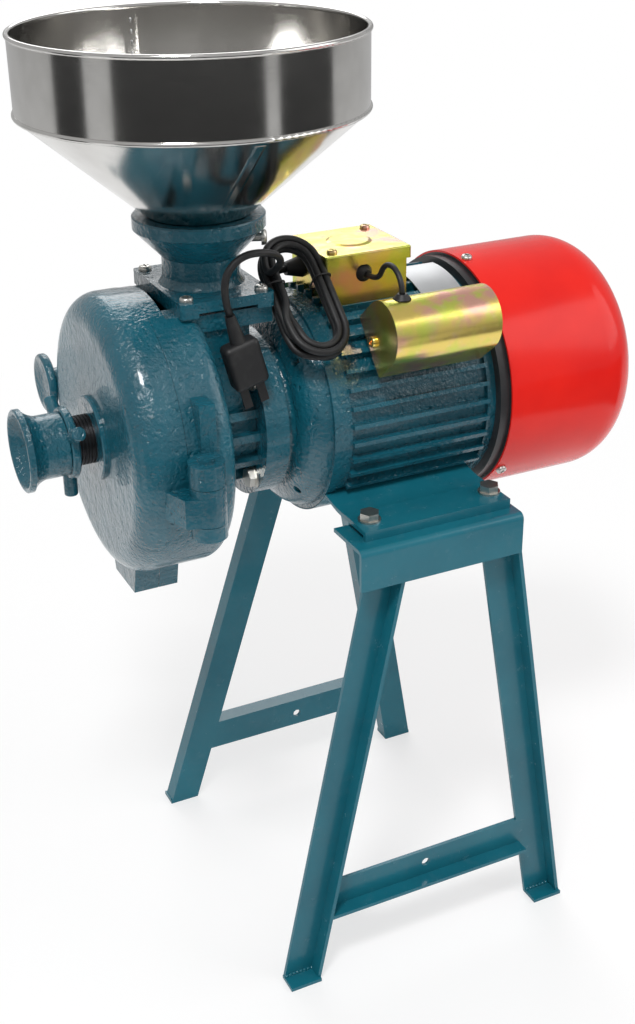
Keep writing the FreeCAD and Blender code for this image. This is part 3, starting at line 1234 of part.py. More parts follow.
# ================================================================ neck and hopper
def neck():
    """The cast neck: a flange on the body, a tube and a cup that the hopper stands in."""
    base = PAD_Z
    top = base + NECK_FLANGE
    flange = box(NECK_FLANGE_X0, NECK_FLANGE_X1, -NECK_FLANGE_HALF_Y, NECK_FLANGE_HALF_Y, base, top)
    upright = [e for e in flange.Edges if abs(e.Length - NECK_FLANGE) < 1e-6]
    flange = flange.makeFillet(3, upright)
    lip_z = CUP_Z - CUP_LIP
    outside = turned([(base, 0), (base, NECK_R), (top, NECK_R + 3), (top + 3, NECK_R + 0.9, "arc"),
                      (top + 6, NECK_R), (NECK_TOP_Z, NECK_R), (lip_z, CUP_R), (CUP_Z - 1, CUP_R),
                      (CUP_Z, CUP_R - 1), (CUP_Z, 0)], NECK_X)
    seat_r = cone_radius(CUP_Z) + SLIDE_GAP * 1.6
    foot_r = cone_radius(CONE_FOOT_Z) + SLIDE_GAP * 1.6
    inside = turned([(base - 1, 0), (base - 1, NECK_BORE_R), (CONE_FOOT_Z - 3, NECK_BORE_R),
                     (CONE_FOOT_Z, foot_r), (CUP_Z + 1, seat_r + 1.2), (CUP_Z + 1, 0)], NECK_X)
    half = GATE_WIDTH / 2 + SLIDE_GAP
    gate_slot = box(NECK_X - half, NECK_X + half, -NECK_FLANGE_HALF_Y - 1, NECK_FLANGE_HALF_Y + 1, base - 1,
                    base + GATE_THICK + 2 * SLIDE_GAP)
    screw = cyl_x_at(NECK_X, SET_SCREW_ANGLE, 15, CUP_R + 5, SET_SCREW_R + SEAT_FIT, SET_SCREW_Z)
    holes = [cyl_z(base - 1, top + 1, NECK_SCREW_R + HOLE_OVER_BOLT, x, y) for x, y in neck_screw_places()]
    body = fused(flange, outside)
    return body.cut(inside).cut(Part.makeCompound([gate_slot, screw] + holes))


SET_SCREW_R = 3.0
SET_SCREW_Z = 576.0
SET_SCREW_ANGLE = -22.0


def cyl_x_at(x, angle, r0, r1, r, z):
    """A level cylinder that points away from an upright axis."""
    a = math.radians(angle)
    direction = V(math.cos(a), math.sin(a), 0)
    return Part.makeCylinder(r, r1 - r0, V(x, 0, z) + direction * r0, direction)


def cone_radius(z):
    """The outside of the hopper's cone at a height."""
    slope = (HOPPER_R - 0.5 - CONE_FOOT_R) / (DRUM_BOTTOM_Z - CONE_FOOT_Z)
    return CONE_FOOT_R + slope * (z - CONE_FOOT_Z)


def neck_screws():
    """The four screws of the neck's flange."""
    seat_z = PAD_Z + NECK_FLANGE + 0.1
    return [aimed(pan_screw(NECK_SCREW_R, 18), V(x, y, seat_z), Z_AXIS) for x, y in neck_screw_places()]


def set_screw():
    """The screw in the neck that keeps the hopper from turning."""
    a = math.radians(SET_SCREW_ANGLE)
    direction = V(math.cos(a), math.sin(a), 0)
    inner = SPIGOT_R + SLIDE_GAP
    outer = 43.0
    seat = V(NECK_X, 0, SET_SCREW_Z) + direction * outer
    return aimed(pan_screw(SET_SCREW_R, outer - inner), seat, direction)


def slide_gate():
    """The feed gate: a flat plate with a finger hole, which draws out on the side away from the hinge."""
    z0 = PAD_Z + SLIDE_GAP
    z1 = z0 + GATE_THICK
    y1 = NECK_FLANGE_HALF_Y - 1.5
    plate = box(NECK_X - GATE_WIDTH / 2, NECK_X + GATE_WIDTH / 2, -GATE_REACH, y1, z0, z1)
    grip_hole = cyl_z(z0 - 1, z1 + 1, 3.5, NECK_X, y1 - 8)
    return plate.cut(grip_hole)


def hopper_drum():
    """The hopper's upright band, with a rolled bead at its rim and at its foot."""
    r = HOPPER_R
    t = HOPPER_SHEET
    band = turned([(DRUM_BOTTOM_Z, r - t), (DRUM_BOTTOM_Z, r), (RIM_Z, r), (RIM_Z, r - t)], NECK_X)
    top = Part.makeTorus(r - t / 2, BEAD_R, V(NECK_X, 0, RIM_Z), Z_AXIS)
    foot = Part.makeTorus(r - t / 2, BEAD_R, V(NECK_X, 0, DRUM_BOTTOM_Z + BEAD_R), Z_AXIS)
    inside = cyl_z(DRUM_BOTTOM_Z - 5, RIM_Z - 4, r - t, NECK_X, 0)
    return fused(band, top, foot.cut(inside))


def hopper_cone():
    """The hopper's cone, hung in the band's foot, with the spigot that stands in the neck."""
    t = HOPPER_SHEET
    top_r = HOPPER_R - t - 0.15
    lip = DRUM_BOTTOM_Z + 6
    step = 1.3 * t
    outline = [(lip, top_r - t), (lip, top_r), (DRUM_BOTTOM_Z, top_r), (CONE_FOOT_Z, CONE_FOOT_R),
               (CONE_FOOT_Z - 2, SPIGOT_R), (CONE_FOOT_Z - SPIGOT_LENGTH, SPIGOT_R),
               (CONE_FOOT_Z - SPIGOT_LENGTH, SPIGOT_R - t), (CONE_FOOT_Z - 1, SPIGOT_R - t),
               (CONE_FOOT_Z + 1, CONE_FOOT_R - step), (DRUM_BOTTOM_Z + 1, top_r - t)]
    return turned(outline, NECK_X)


# ================================================================ power cord
HANK_MIDDLE = V(-62.0, -44.0, 536.0)
HANK_TILT = 40.0              # slope of the hank on the motor's shoulder
HANK_HALF_LENGTH = 50.0
HANK_HALF_WIDTH = 22.0
HANK_HOLE = 13.0              # half width of the loop's eye
HANK_THICK = 17.0


def hank_point(across, along, out):
    """A point of the hank: across it, up along its slope and out of its plane."""
    a = math.radians(HANK_TILT)
    up = V(0, math.cos(a), math.sin(a))
    outward = V(0, -math.sin(a), math.cos(a))
    return HANK_MIDDLE + V(across, 0, 0) + up * along + outward * out


def cord_hank():
    """The outer shape of the folded cord: a long loop with round ends, lying on the motor."""
    half = HANK_HALF_LENGTH
    w = HANK_HALF_WIDTH
    t = HANK_THICK / 2
    solid = Part.makeBox(2 * w, 2 * (half - w), 2 * t, V(-w, -(half - w), -t))
    ends = [Part.makeCylinder(w, 2 * t, V(0, s * (half - w), -t)) for s in (-1, 1)]
    loop = fused(solid, *ends)
    rims = [e for e in loop.Edges if abs(abs(e.CenterOfMass.z) - t) < 1e-6]
    loop = loop.makeFillet(0.6 * t, rims)
    hole_w = HANK_HOLE
    hole = Part.makeBox(2 * hole_w, 2 * (half - w), 4 * t, V(-hole_w, -(half - w), -2 * t))
    hole_ends = [Part.makeCylinder(hole_w, 4 * t, V(0, s * (half - w), -2 * t)) for s in (-1, 1)]
    loop = loop.cut(fused(hole, *hole_ends))
    loop.Placement = FreeCAD.Placement(HANK_MIDDLE, FreeCAD.Rotation(X_AXIS, HANK_TILT))
    return loop


CORD_FROM_BOX = [
    V(-36.0, 12.0, 541.0),
    V(-58.0, 12.0, 541.0),
    V(-72.5, -2.5, 541.0),
    V(-72.5, -22.5, 539.5),
]
CORD_TO_PLUG = [
    hank_point(-17.5, 15.0, HANK_THICK / 2 + SLIDE_GAP),
    V(-79.5, -51.6, 568.2),
    V(-94.0, -60.7, 579.1),
    V(-117.0, -60.7, 579.1),
    V(-131.0, -60.7, 560.8),
    PLUG_TOP,
]


PLUG_DIRECTION = PLUG_TOP - CORD_TO_PLUG[-2]
PLUG_LENGTH = 34.0
PLUG_WIDTH = 26.0
PLUG_THICK = 15.0
RELIEF_LENGTH = 22.0
PIN_SPACING = 12.7


def plug_pieces():
    """The moulded plug with its tapered strain relief and two flat pins."""
    relief = Part.makeCone(CORD_D / 2 + 1.0, CORD_D / 2 + 3.2, RELIEF_LENGTH)
    relief = relief.cut(Part.makeCylinder(CORD_D / 2 + SEAT_FIT, 8, V(0, 0, -1)))
    block = Part.makeBox(PLUG_WIDTH, PLUG_THICK, PLUG_LENGTH,
                         V(-PLUG_WIDTH / 2, -PLUG_THICK / 2, RELIEF_LENGTH - 2))
    block = block.makeFillet(4.0, block.Edges)
    pins = []
    end = RELIEF_LENGTH - 2 + PLUG_LENGTH
    for side in (-1, 1):
        pins.append(Part.makeBox(6.3, 1.5, 17, V(side * PIN_SPACING / 2 - 3.15, -0.75, end - 1)))
    return aimed(fused(relief, block, *pins), PLUG_TOP, PLUG_DIRECTION)


def build():
    """Build every sub-part."""
    keep("top_angles", top_angle(FOOT_BOLT_X), half_turn(top_angle([-x for x in FOOT_BOLT_X])))
    far_tops = (-FAR_LEG_TOPS[1], -FAR_LEG_TOPS[0])
    keep("near_legs", leg(True, NEAR_LEG_TOPS), leg(False, NEAR_LEG_TOPS))
    keep("far_legs", half_turn(leg(True, far_tops)), half_turn(leg(False, far_tops)))
    keep("braces", brace(NEAR_BRACE_Z, False, NEAR_LEG_TOPS),
         half_turn(brace(FAR_BRACE_Z, True, far_tops)))
    bolts, nuts = foot_fasteners()
    keep("foot_bolts", *bolts)
    keep("foot_nuts", *nuts)

    keep("motor_foot", motor_foot())
    keep("motor_frame", motor_frame())
    keep("stator_core", stator_core())
    keep("windings", windings())
    keep("rotor_core", rotor_core())
    keep("motor_shaft", motor_shaft())
    front = bearing(FRONT_BEARING_X)
    rear = bearing(REAR_BEARING_X)
    keep("bearing_outer_rings", front[0], rear[0])
    keep("bearing_inner_rings", front[1], rear[1])
    keep("bearing_balls", *(front[2] + rear[2]))
    keep("front_end_shield", front_shield())
    keep("rear_end_shield", rear_shield())
    keep("tie_rods", *tie_rods())
    keep("cooling_fan", fan())
    keep("fan_cover", fan_cover())
    keep("fan_cover_screws", *fan_cover_screws())
    keep("nameplate", nameplate())

    keep("terminal_box", terminal_box())
    keep("terminal_box_lid", terminal_lid())
    lid_screws = [aimed(pan_screw(LID_SCREW_R, 14), V(x, y, BOX_TOP_Z + 0.1), Z_AXIS)
                  for x, y in lid_screw_places()]
    keep("box_screws", *(lid_screws + [capacitor_screw()]))
    keep("terminal_block", terminal_block())
    keep("capacitor", capacitor())
    keep("capacitor_cover", capacitor_cover())
    keep("capacitor_bracket", capacitor_bracket())
    cord_gland, box_gland, cap_gland = glands()
    keep("cord_gland", cord_gland)
    keep("lead_glands", box_gland, cap_gland)
    keep("capacitor_lead", tube_along(lead_route(), LEAD_D)[0])

    keep("mill_body", mill_body())
    keep("adapter_bolts", *adapter_bolts())
    keep("shaft_seal", shaft_seal())
    keep("auger", auger())
    keep("fixed_disc", fixed_disc())
    keep("fixed_disc_screws", *fixed_disc_screws())
    keep("rotating_disc", rotating_disc())
    keep("drive_pins", *drive_pin())
    keep("front_cover", cover())
    keep("hinge_pin", hinge_pin())
    keep("lock_screw", lock_screw())
    keep("lock_clip", lock_clip())
    keep("adjusting_screw", adjusting_screw())
    keep("thrust_ball", thrust_ball())
    keep("adjusting_knob", adjusting_knob())
    keep("lock_ring", lock_ring())

    keep("neck", neck())
    keep("neck_screws", *neck_screws())
    keep("hopper_set_screw", set_screw())
    keep("slide_gate", slide_gate())
    keep("hopper_drum", hopper_drum())
    keep("hopper_cone", hopper_cone())
    runs = []
    for route in (CORD_FROM_BOX, CORD_TO_PLUG):
        tube, length = tube_along(route, CORD_D)
        print("cord run", round(length, 1), "volume ratio", round(tube.Volume / (math.pi * CORD_D ** 2 / 4 * length), 4))
        runs.append(tube)
    keep("power_cord", *runs)
    keep("power_cord_hank", cord_hank())
    keep("power_plug", plug_pieces())


build()
os.makedirs("parts", exist_ok=True)
for part_name, shape in PARTS.items():
    if not shape.isValid():
        print("not valid:", part_name)
    shape.exportStep("parts/" + part_name + ".step")
print(len(PARTS), "sub-parts")
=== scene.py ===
"""Looks of a disc grain mill: finishes for its castings and sheet, its cord, seams, welds and stage."""

import json
import logging
import math
from dataclasses import dataclass, field
from enum import Enum
from typing import Any, Iterable, Sequence

import bmesh
import bpy
from mathutils import Matrix, Vector

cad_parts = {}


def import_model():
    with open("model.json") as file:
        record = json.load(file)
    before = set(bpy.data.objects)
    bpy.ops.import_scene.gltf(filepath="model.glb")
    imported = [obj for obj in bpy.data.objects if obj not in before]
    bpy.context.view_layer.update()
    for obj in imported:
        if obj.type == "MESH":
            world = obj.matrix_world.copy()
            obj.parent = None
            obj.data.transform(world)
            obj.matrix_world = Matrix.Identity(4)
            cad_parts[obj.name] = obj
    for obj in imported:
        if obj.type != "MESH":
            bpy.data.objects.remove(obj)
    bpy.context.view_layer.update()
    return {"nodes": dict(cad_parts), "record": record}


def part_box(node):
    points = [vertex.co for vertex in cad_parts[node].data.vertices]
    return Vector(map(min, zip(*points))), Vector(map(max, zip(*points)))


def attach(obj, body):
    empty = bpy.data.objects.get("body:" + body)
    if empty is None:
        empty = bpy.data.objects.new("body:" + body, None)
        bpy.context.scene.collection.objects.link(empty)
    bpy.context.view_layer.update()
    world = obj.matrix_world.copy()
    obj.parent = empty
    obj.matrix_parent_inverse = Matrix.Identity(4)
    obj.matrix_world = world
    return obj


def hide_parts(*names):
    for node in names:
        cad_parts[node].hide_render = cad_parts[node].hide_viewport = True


LOG = logging.getLogger("mill")

Colour = tuple[float, float, float]
Point = tuple[float, float, float]

MILLIMETRE = 0.001


# ---------------------------------------------------------------- shader maths
class Value:
    """A number that varies over a surface; arithmetic on it adds Math nodes."""

    def __init__(self, tree: bpy.types.NodeTree, socket: bpy.types.NodeSocket) -> None:
        """Wraps a socket.

        Args:
            tree: The node tree that the socket belongs to.
            socket: The output socket.
        """
        self.tree = tree
        self.socket = socket

    def _math(self, operation: str, first: Any, second: Any) -> "Value":
        """Adds one Math node.

        Args:
            operation: The node's operation.
            first: A Value or a number.
            second: A Value or a number.

        Returns:
            The result.
        """
        node = self.tree.nodes.new("ShaderNodeMath")
        node.operation = operation
        for socket, value in zip(node.inputs, (first, second)):
            if isinstance(value, Value):
                self.tree.links.new(value.socket, socket)
            else:
                socket.default_value = value
        return Value(self.tree, node.outputs[0])

    def __add__(self, other: Any) -> "Value":
        """This plus another."""
        return self._math("ADD", self, other)

    __radd__ = __add__

    def __mul__(self, other: Any) -> "Value":
        """This times another."""
        return self._math("MULTIPLY", self, other)

    __rmul__ = __mul__

    def __sub__(self, other: Any) -> "Value":
        """This less another."""
        return self._math("SUBTRACT", self, other)

    def __rsub__(self, other: Any) -> "Value":
        """Another less this."""
        return self._math("SUBTRACT", other, self)

    def __gt__(self, other: Any) -> "Value":
        """One where this is greater, and zero elsewhere."""
        return self._math("GREATER_THAN", self, other)

    def ramp(self, low: float, high: float) -> "Value":
        """Rises from 0 to 1 as this goes from low to high, and stays there."""
        node = self.tree.nodes.new("ShaderNodeMapRange")
        node.inputs["From Min"].default_value = low
        node.inputs["From Max"].default_value = high
        self.tree.links.new(self.socket, node.inputs["Value"])
        return Value(self.tree, node.outputs["Result"])


class Surface:
    """One material under construction."""

    def __init__(self, name: str) -> None:
        """Starts a material with a Principled shader.

        Args:
            name: The material's name.
        """
        self.material = bpy.data.materials.new(name)
        self.material.use_nodes = True
        self.tree = self.material.node_tree
        self.shader = self.tree.nodes["Principled BSDF"]
        self.place = self.node("ShaderNodeTexCoord").outputs["Object"]

    def node(self, kind: str, settings: dict[str, Any] | None = None,
             inputs: dict[Any, Any] | None = None) -> bpy.types.Node:
        """Adds a node.

        Args:
            kind: The node's type.
            settings: Its properties, which are set first.
            inputs: Values or links of its sockets, by name or index.

        Returns:
            The node.
        """
        node = self.tree.nodes.new(kind)
        for key, value in (settings or {}).items():
            setattr(node, key, value)
        for key, value in (inputs or {}).items():
            self.feed(node.inputs[key], value)
        return node

    def feed(self, socket: bpy.types.NodeSocket, value: Any) -> None:
        """Gives a socket a link or a plain value.

        Args:
            socket: The input socket.
            value: A Value, a socket or a plain value.
        """
        if isinstance(value, Value):
            value = value.socket
        if isinstance(value, bpy.types.NodeSocket):
            self.tree.links.new(value, socket)
        else:
            socket.default_value = value

    def noise(self, size: float, detail: float = 3.0, stretch: Point = (1, 1, 1)) -> Value:
        """Noise whose features are about that size in metres."""
        spread = self.node("ShaderNodeMapping", None, {"Vector": self.place, "Scale": stretch})
        texture = self.node("ShaderNodeTexNoise", None,
                            {"Vector": spread.outputs[0], "Scale": 1.0 / size, "Detail": detail})
        return Value(self.tree, texture.outputs[0])

    def mix(self, factor: Any, first: Any, second: Any) -> bpy.types.NodeSocket:
        """Mixes two colours.

        Args:
            factor: How much of the second, from 0 to 1.
            first: A colour or a colour socket.
            second: A colour or a colour socket.

        Returns:
            The mixed colour's socket.
        """
        node = self.node("ShaderNodeMix", {"data_type": "RGBA"}, {0: factor})
        for index, colour in ((6, first), (7, second)):
            if not isinstance(colour, bpy.types.NodeSocket):
                colour = (*colour, 1.0)
            self.feed(node.inputs[index], colour)
        return node.outputs[2]

    def bump(self, height: Value, depth: float) -> None:
        """Raises the surface by height times depth, in metres."""
        node = self.node("ShaderNodeBump", None, {"Height": height, "Distance": depth, "Strength": 1.0})
        self.feed(self.shader.inputs["Normal"], node.outputs[0])

    def set(self, **values: Any) -> None:
        """Sets inputs of the shader; an underscore in a name stands for a space."""
        for key, value in values.items():
            self.feed(self.shader.inputs[key.replace("_", " ")], value)


# ---------------------------------------------------------------- finishes
@dataclass(frozen=True)
class Paint:
    """Gloss paint over metal, with the ground's grain showing through."""

    name: str
    colour: Colour
    shade: Colour
    roughness: float = 0.25
    grain: float = 0.002
    depth: float = 0.00012
    pits: float = 0.0
    dust: float = 0.04
    coat: float = 0.12
    gloss: float = 0.38

    def build(self) -> bpy.types.Material:
        """Makes the material."""
        surface = Surface(self.name)
        broad = surface.noise(0.06, 4.0)
        fine = surface.noise(self.grain, 4.0)
        wave = surface.noise(self.grain * 5, 2.0)
        base = surface.mix(broad.ramp(0.35, 0.7), self.colour, self.shade)
        lint = (surface.noise(0.012, 6.0).ramp(0.55, 0.8)) * self.dust
        base = surface.mix(lint, base, (0.30, 0.34, 0.34))
        surface.set(Base_Color=base, Roughness=fine * 0.10 + lint * 0.6 + self.roughness,
                    Coat_Weight=self.coat, Coat_Roughness=0.08, Specular_IOR_Level=self.gloss)
        height = fine + wave * 1.5
        if self.pits:
            height = height - surface.noise(self.grain * 1.7, 1.0).ramp(0.62, 0.78) * self.pits
        surface.bump(height, self.depth)
        return surface.material


@dataclass(frozen=True)
class Metal:
    """Bare or plated metal, with smears and, where drawn or turned, fine lines."""

    name: str
    colour: Colour
    shade: Colour
    roughness: float = 0.25
    grain: float = 0.003
    lines: Point = (1, 1, 1)
    depth: float = 0.00002
    metallic: float = 1.0

    def build(self) -> bpy.types.Material:
        """Makes the material."""
        surface = Surface(self.name)
        smear = surface.noise(0.03, 5.0)
        grain = surface.noise(self.grain, 3.0, self.lines)
        surface.set(Base_Color=surface.mix(smear.ramp(0.35, 0.7), self.colour, self.shade),
                    Metallic=self.metallic, Roughness=smear * 0.12 + grain * 0.08 + self.roughness)
        surface.bump(grain, self.depth)
        return surface.material


@dataclass(frozen=True)
class PassivatedZinc:
    """Yellow passivated zinc, which drifts between gold, rose and green."""

    name: str
    gold: Colour = (0.80, 0.62, 0.17)
    rose: Colour = (0.80, 0.38, 0.40)
    green: Colour = (0.56, 0.70, 0.10)
    roughness: float = 0.16

    def build(self) -> bpy.types.Material:
        """Makes the material."""
        surface = Surface(self.name)
        drift = surface.noise(0.028, 3.0)
        other = surface.noise(0.017, 4.0, (1, 1.7, 0.6))
        base = surface.mix(drift.ramp(0.47, 0.62) * 0.75, self.gold, self.rose)
        base = surface.mix(other.ramp(0.46, 0.62) * 0.7, base, self.green)
        base = surface.mix(surface.noise(0.006, 5.0).ramp(0.6, 0.85) * 0.35, base, (0.78, 0.74, 0.62))
        surface.set(Base_Color=base, Metallic=0.92, Roughness=other * 0.15 + self.roughness)
        surface.bump(surface.noise(0.004, 3.0), 0.00003)
        return surface.material


@dataclass(frozen=True)
class Moulded:
    """Moulded plastic or rubber."""

    name: str
    colour: Colour
    shade: Colour
    roughness: float = 0.45
    grain: float = 0.0012
    depth: float = 0.00004

    def build(self) -> bpy.types.Material:
        """Makes the material."""
        surface = Surface(self.name)
        scuff = surface.noise(0.01, 5.0)
        fine = surface.noise(self.grain, 3.0)
        surface.set(Base_Color=surface.mix(scuff.ramp(0.5, 0.75), self.colour, self.shade),
                    Roughness=fine * 0.15 + self.roughness, Specular_IOR_Level=0.45)
        surface.bump(fine, self.depth)
        return surface.material


class Finish(Enum):
    """The finishes of the mill, by the slot that each one dresses."""

    LEG_PAINT = "leg_paint"
    CAST_PAINT = "cast_paint"
    BLACK_PAINT = "black_paint"
    ZINC_BOLT = "zinc_bolt"
    YELLOW_ZINC = "yellow_zinc"
    RED_PAINT = "red_paint"
    STAINLESS = "stainless"
    BRIGHT_STEEL = "bright_steel"
    GREY_IRON = "grey_iron"
    CORE_STEEL = "core_steel"
    COPPER = "copper"
    BLACK_STEEL = "black_steel"
    BLACK_PLASTIC = "black_plastic"
    BLACK_RUBBER = "black_rubber"
    WHITE_PLASTIC = "white_plastic"
    PLATE_METAL = "plate_metal"


RECIPES = {
    Finish.LEG_PAINT: Paint("leg enamel", (0.008, 0.135, 0.185), (0.006, 0.110, 0.155), 0.20, 0.004, 0.00012,
                            dust=0.05),
    Finish.CAST_PAINT: Paint("casting enamel", (0.007, 0.105, 0.150), (0.004, 0.066, 0.098), 0.09, 0.0030,
                             0.0013, 0.6, dust=0.02, coat=0.45, gloss=0.5),
    Finish.BLACK_PAINT: Paint("black enamel", (0.016, 0.017, 0.019), (0.028, 0.028, 0.030), 0.30, 0.002),
    Finish.ZINC_BOLT: Metal("bright zinc", (0.62, 0.61, 0.58), (0.50, 0.49, 0.45), 0.26),
    Finish.YELLOW_ZINC: PassivatedZinc("yellow zinc"),
    Finish.RED_PAINT: Paint("red enamel", (0.74, 0.014, 0.008), (0.66, 0.010, 0.007), 0.15, 0.006, 0.00005,
                            dust=0.0, coat=0.1, gloss=0.25),
    Finish.STAINLESS: Metal("polished stainless", (0.68, 0.67, 0.65), (0.58, 0.57, 0.55), 0.045, 0.0012,
                            (0.15, 0.15, 3.0), 0.000008),
    Finish.BRIGHT_STEEL: Metal("ground steel", (0.58, 0.58, 0.59), (0.48, 0.48, 0.49), 0.24),
    Finish.GREY_IRON: Metal("chilled iron", (0.20, 0.20, 0.20), (0.12, 0.12, 0.12), 0.45, 0.0015,
                            (1, 1, 1), 0.0001, 0.8),
    Finish.CORE_STEEL: Metal("core laminations", (0.28, 0.28, 0.30), (0.2, 0.2, 0.22), 0.4, 0.0008,
                             (8, 0.3, 0.3), 0.0001),
    Finish.COPPER: Metal("varnished copper", (0.62, 0.26, 0.10), (0.45, 0.17, 0.07), 0.3, 0.0009,
                         (1, 1, 1), 0.0002),
    Finish.BLACK_STEEL: Metal("blackened steel", (0.045, 0.045, 0.048), (0.025, 0.025, 0.027), 0.32),
    Finish.BLACK_PLASTIC: Moulded("black plastic", (0.018, 0.018, 0.019), (0.03, 0.03, 0.03)),
    Finish.BLACK_RUBBER: Moulded("cable rubber", (0.012, 0.012, 0.013), (0.024, 0.024, 0.024), 0.42),
    Finish.WHITE_PLASTIC: Moulded("capacitor can", (0.72, 0.72, 0.69), (0.62, 0.62, 0.58)),
    Finish.PLATE_METAL: Metal("blank plate", (0.60, 0.61, 0.62), (0.50, 0.51, 0.52), 0.3, 0.0008,
                              (0.1, 3.0, 3.0)),
}


class Palette:
    """Every finish, made once."""

    def __init__(self) -> None:
        """Builds the materials."""
        self.made = {finish: recipe.build() for finish, recipe in RECIPES.items()}

    def __getitem__(self, finish: Finish) -> bpy.types.Material:
        """The material of a finish."""
        return self.made[finish]

    def dress(self, obj: bpy.types.Object, finish: Finish) -> None:
        """Gives an object's every slot one finish.

        Args:
            obj: The mesh or curve object.
            finish: The finish.
        """
        if not obj.material_slots:
            obj.data.materials.append(self[finish])
        for one in obj.material_slots:
            one.material = self[finish]


# ---------------------------------------------------------------- helpers for pieces
def add_object(name: str, data: bpy.types.ID) -> bpy.types.Object:
    """Puts a mesh or curve into the scene.

    Args:
        name: The object's name.
        data: Its mesh or curve.

    Returns:
        The object.
    """
    obj = bpy.data.objects.new(name, data)
    bpy.context.scene.collection.objects.link(obj)
    return obj


def smooth(mesh: bpy.types.Mesh) -> None:
    """Shades every face of a mesh smooth."""
    for face in mesh.polygons:
        face.use_smooth = True


def mesh_of(name: str, vertices: Iterable[Point], faces: Iterable[Sequence[int]]) -> bpy.types.Object:
    """A mesh object from points and faces, with outward normals.

    Args:
        name: The object's name.
        vertices: Its points, in metres.
        faces: Its faces, as indices.

    Returns:
        The object.
    """
    mesh = bpy.data.meshes.new(name)
    mesh.from_pydata([tuple(v) for v in vertices], [], [tuple(f) for f in faces])
    work = bmesh.new()
    work.from_mesh(mesh)
    bmesh.ops.remove_doubles(work, verts=work.verts, dist=1e-6)
    bmesh.ops.recalc_face_normals(work, faces=work.faces)
    work.to_mesh(mesh)
    work.free()
    return add_object(name, mesh)


def swept_strip(name: str, centres: Sequence[Point], across: Sequence[Point], out: Sequence[Point],
                width: float, height: float) -> bpy.types.Object:
    """A closed low strip along a line on a surface.

    Args:
        name: The object's name.
        centres: The line's points.
        across: The unit vector across the strip at each point.
        out: The unit vector out of the surface at each point.
        width: The strip's width, in metres.
        height: How far it stands out; it is sunk by as much.

    Returns:
        The object.
    """
    outline = [(-0.5, -1.0), (-0.5, 0.3), (-0.3, 1.0), (0.3, 1.0), (0.5, 0.3), (0.5, -1.0)]
    vertices = []
    for centre, side, normal in zip(centres, across, out):
        for a, b in outline:
            vertices.append(Vector(centre) + Vector(side) * a * width + Vector(normal) * b * height)
    count = len(outline)
    faces = [tuple(range(count)), tuple(range(count * (len(centres) - 1), count * len(centres)))]
    for i in range(len(centres) - 1):
        for j in range(count):
            k = (j + 1) % count
            faces.append((i * count + j, i * count + k, (i + 1) * count + k, (i + 1) * count + j))
    return mesh_of(name, vertices, faces)


@dataclass
class BeadRow:
    """A row of low round beads between two points, made by Geometry Nodes."""

    name: str
    start: Point
    end: Point
    count: int
    radius: float
    flatten: Point = (1.0, 1.0, 1.0)
    segments: int = 12

    def build(self, material: bpy.types.Material) -> bpy.types.Object:
        """Makes the row as one plain mesh.

        Args:
            material: What the beads are dressed in.

        Returns:
            The object.
        """
        tree = bpy.data.node_groups.new(self.name, "GeometryNodeTree")
        tree.interface.new_socket("Geometry", in_out="OUTPUT", socket_type="NodeSocketGeometry")
        count = tree.interface.new_socket("Count", in_out="INPUT", socket_type="NodeSocketInt")
        radius = tree.interface.new_socket("Radius", in_out="INPUT", socket_type="NodeSocketFloat")
        given = tree.nodes.new("NodeGroupInput")
        line = tree.nodes.new("GeometryNodeMeshLine")
        line.mode = "END_POINTS"
        line.inputs["Start Location"].default_value = self.start
        line.inputs["Offset"].default_value = self.end
        tree.links.new(given.outputs["Count"], line.inputs["Count"])
        ball = tree.nodes.new("GeometryNodeMeshUVSphere")
        ball.inputs["Segments"].default_value = self.segments
        ball.inputs["Rings"].default_value = self.segments // 2
        tree.links.new(given.outputs["Radius"], ball.inputs["Radius"])
        place = tree.nodes.new("GeometryNodeInstanceOnPoints")
        place.inputs["Scale"].default_value = self.flatten
        real = tree.nodes.new("GeometryNodeRealizeInstances")
        dress = tree.nodes.new("GeometryNodeSetMaterial")
        dress.inputs["Material"].default_value = material
        result = tree.nodes.new("NodeGroupOutput")
        tree.links.new(line.outputs["Mesh"], place.inputs["Points"])
        tree.links.new(ball.outputs["Mesh"], place.inputs["Instance"])
        tree.links.new(place.outputs[0], real.inputs[0])
        tree.links.new(real.outputs[0], dress.inputs["Geometry"])
        tree.links.new(dress.outputs[0], result.inputs[0])
        carrier = add_object(self.name + " carrier", bpy.data.meshes.new(self.name + " carrier"))
        modifier = carrier.modifiers.new(self.name, "NODES")
        modifier.node_group = tree
        modifier[count.identifier] = self.count
        modifier[radius.identifier] = self.radius
        shape = bpy.context.evaluated_depsgraph_get()
        mesh = bpy.data.meshes.new_from_object(carrier.evaluated_get(shape))
        bpy.data.objects.remove(carrier)
        smooth(mesh)
        return add_object(self.name, mesh)


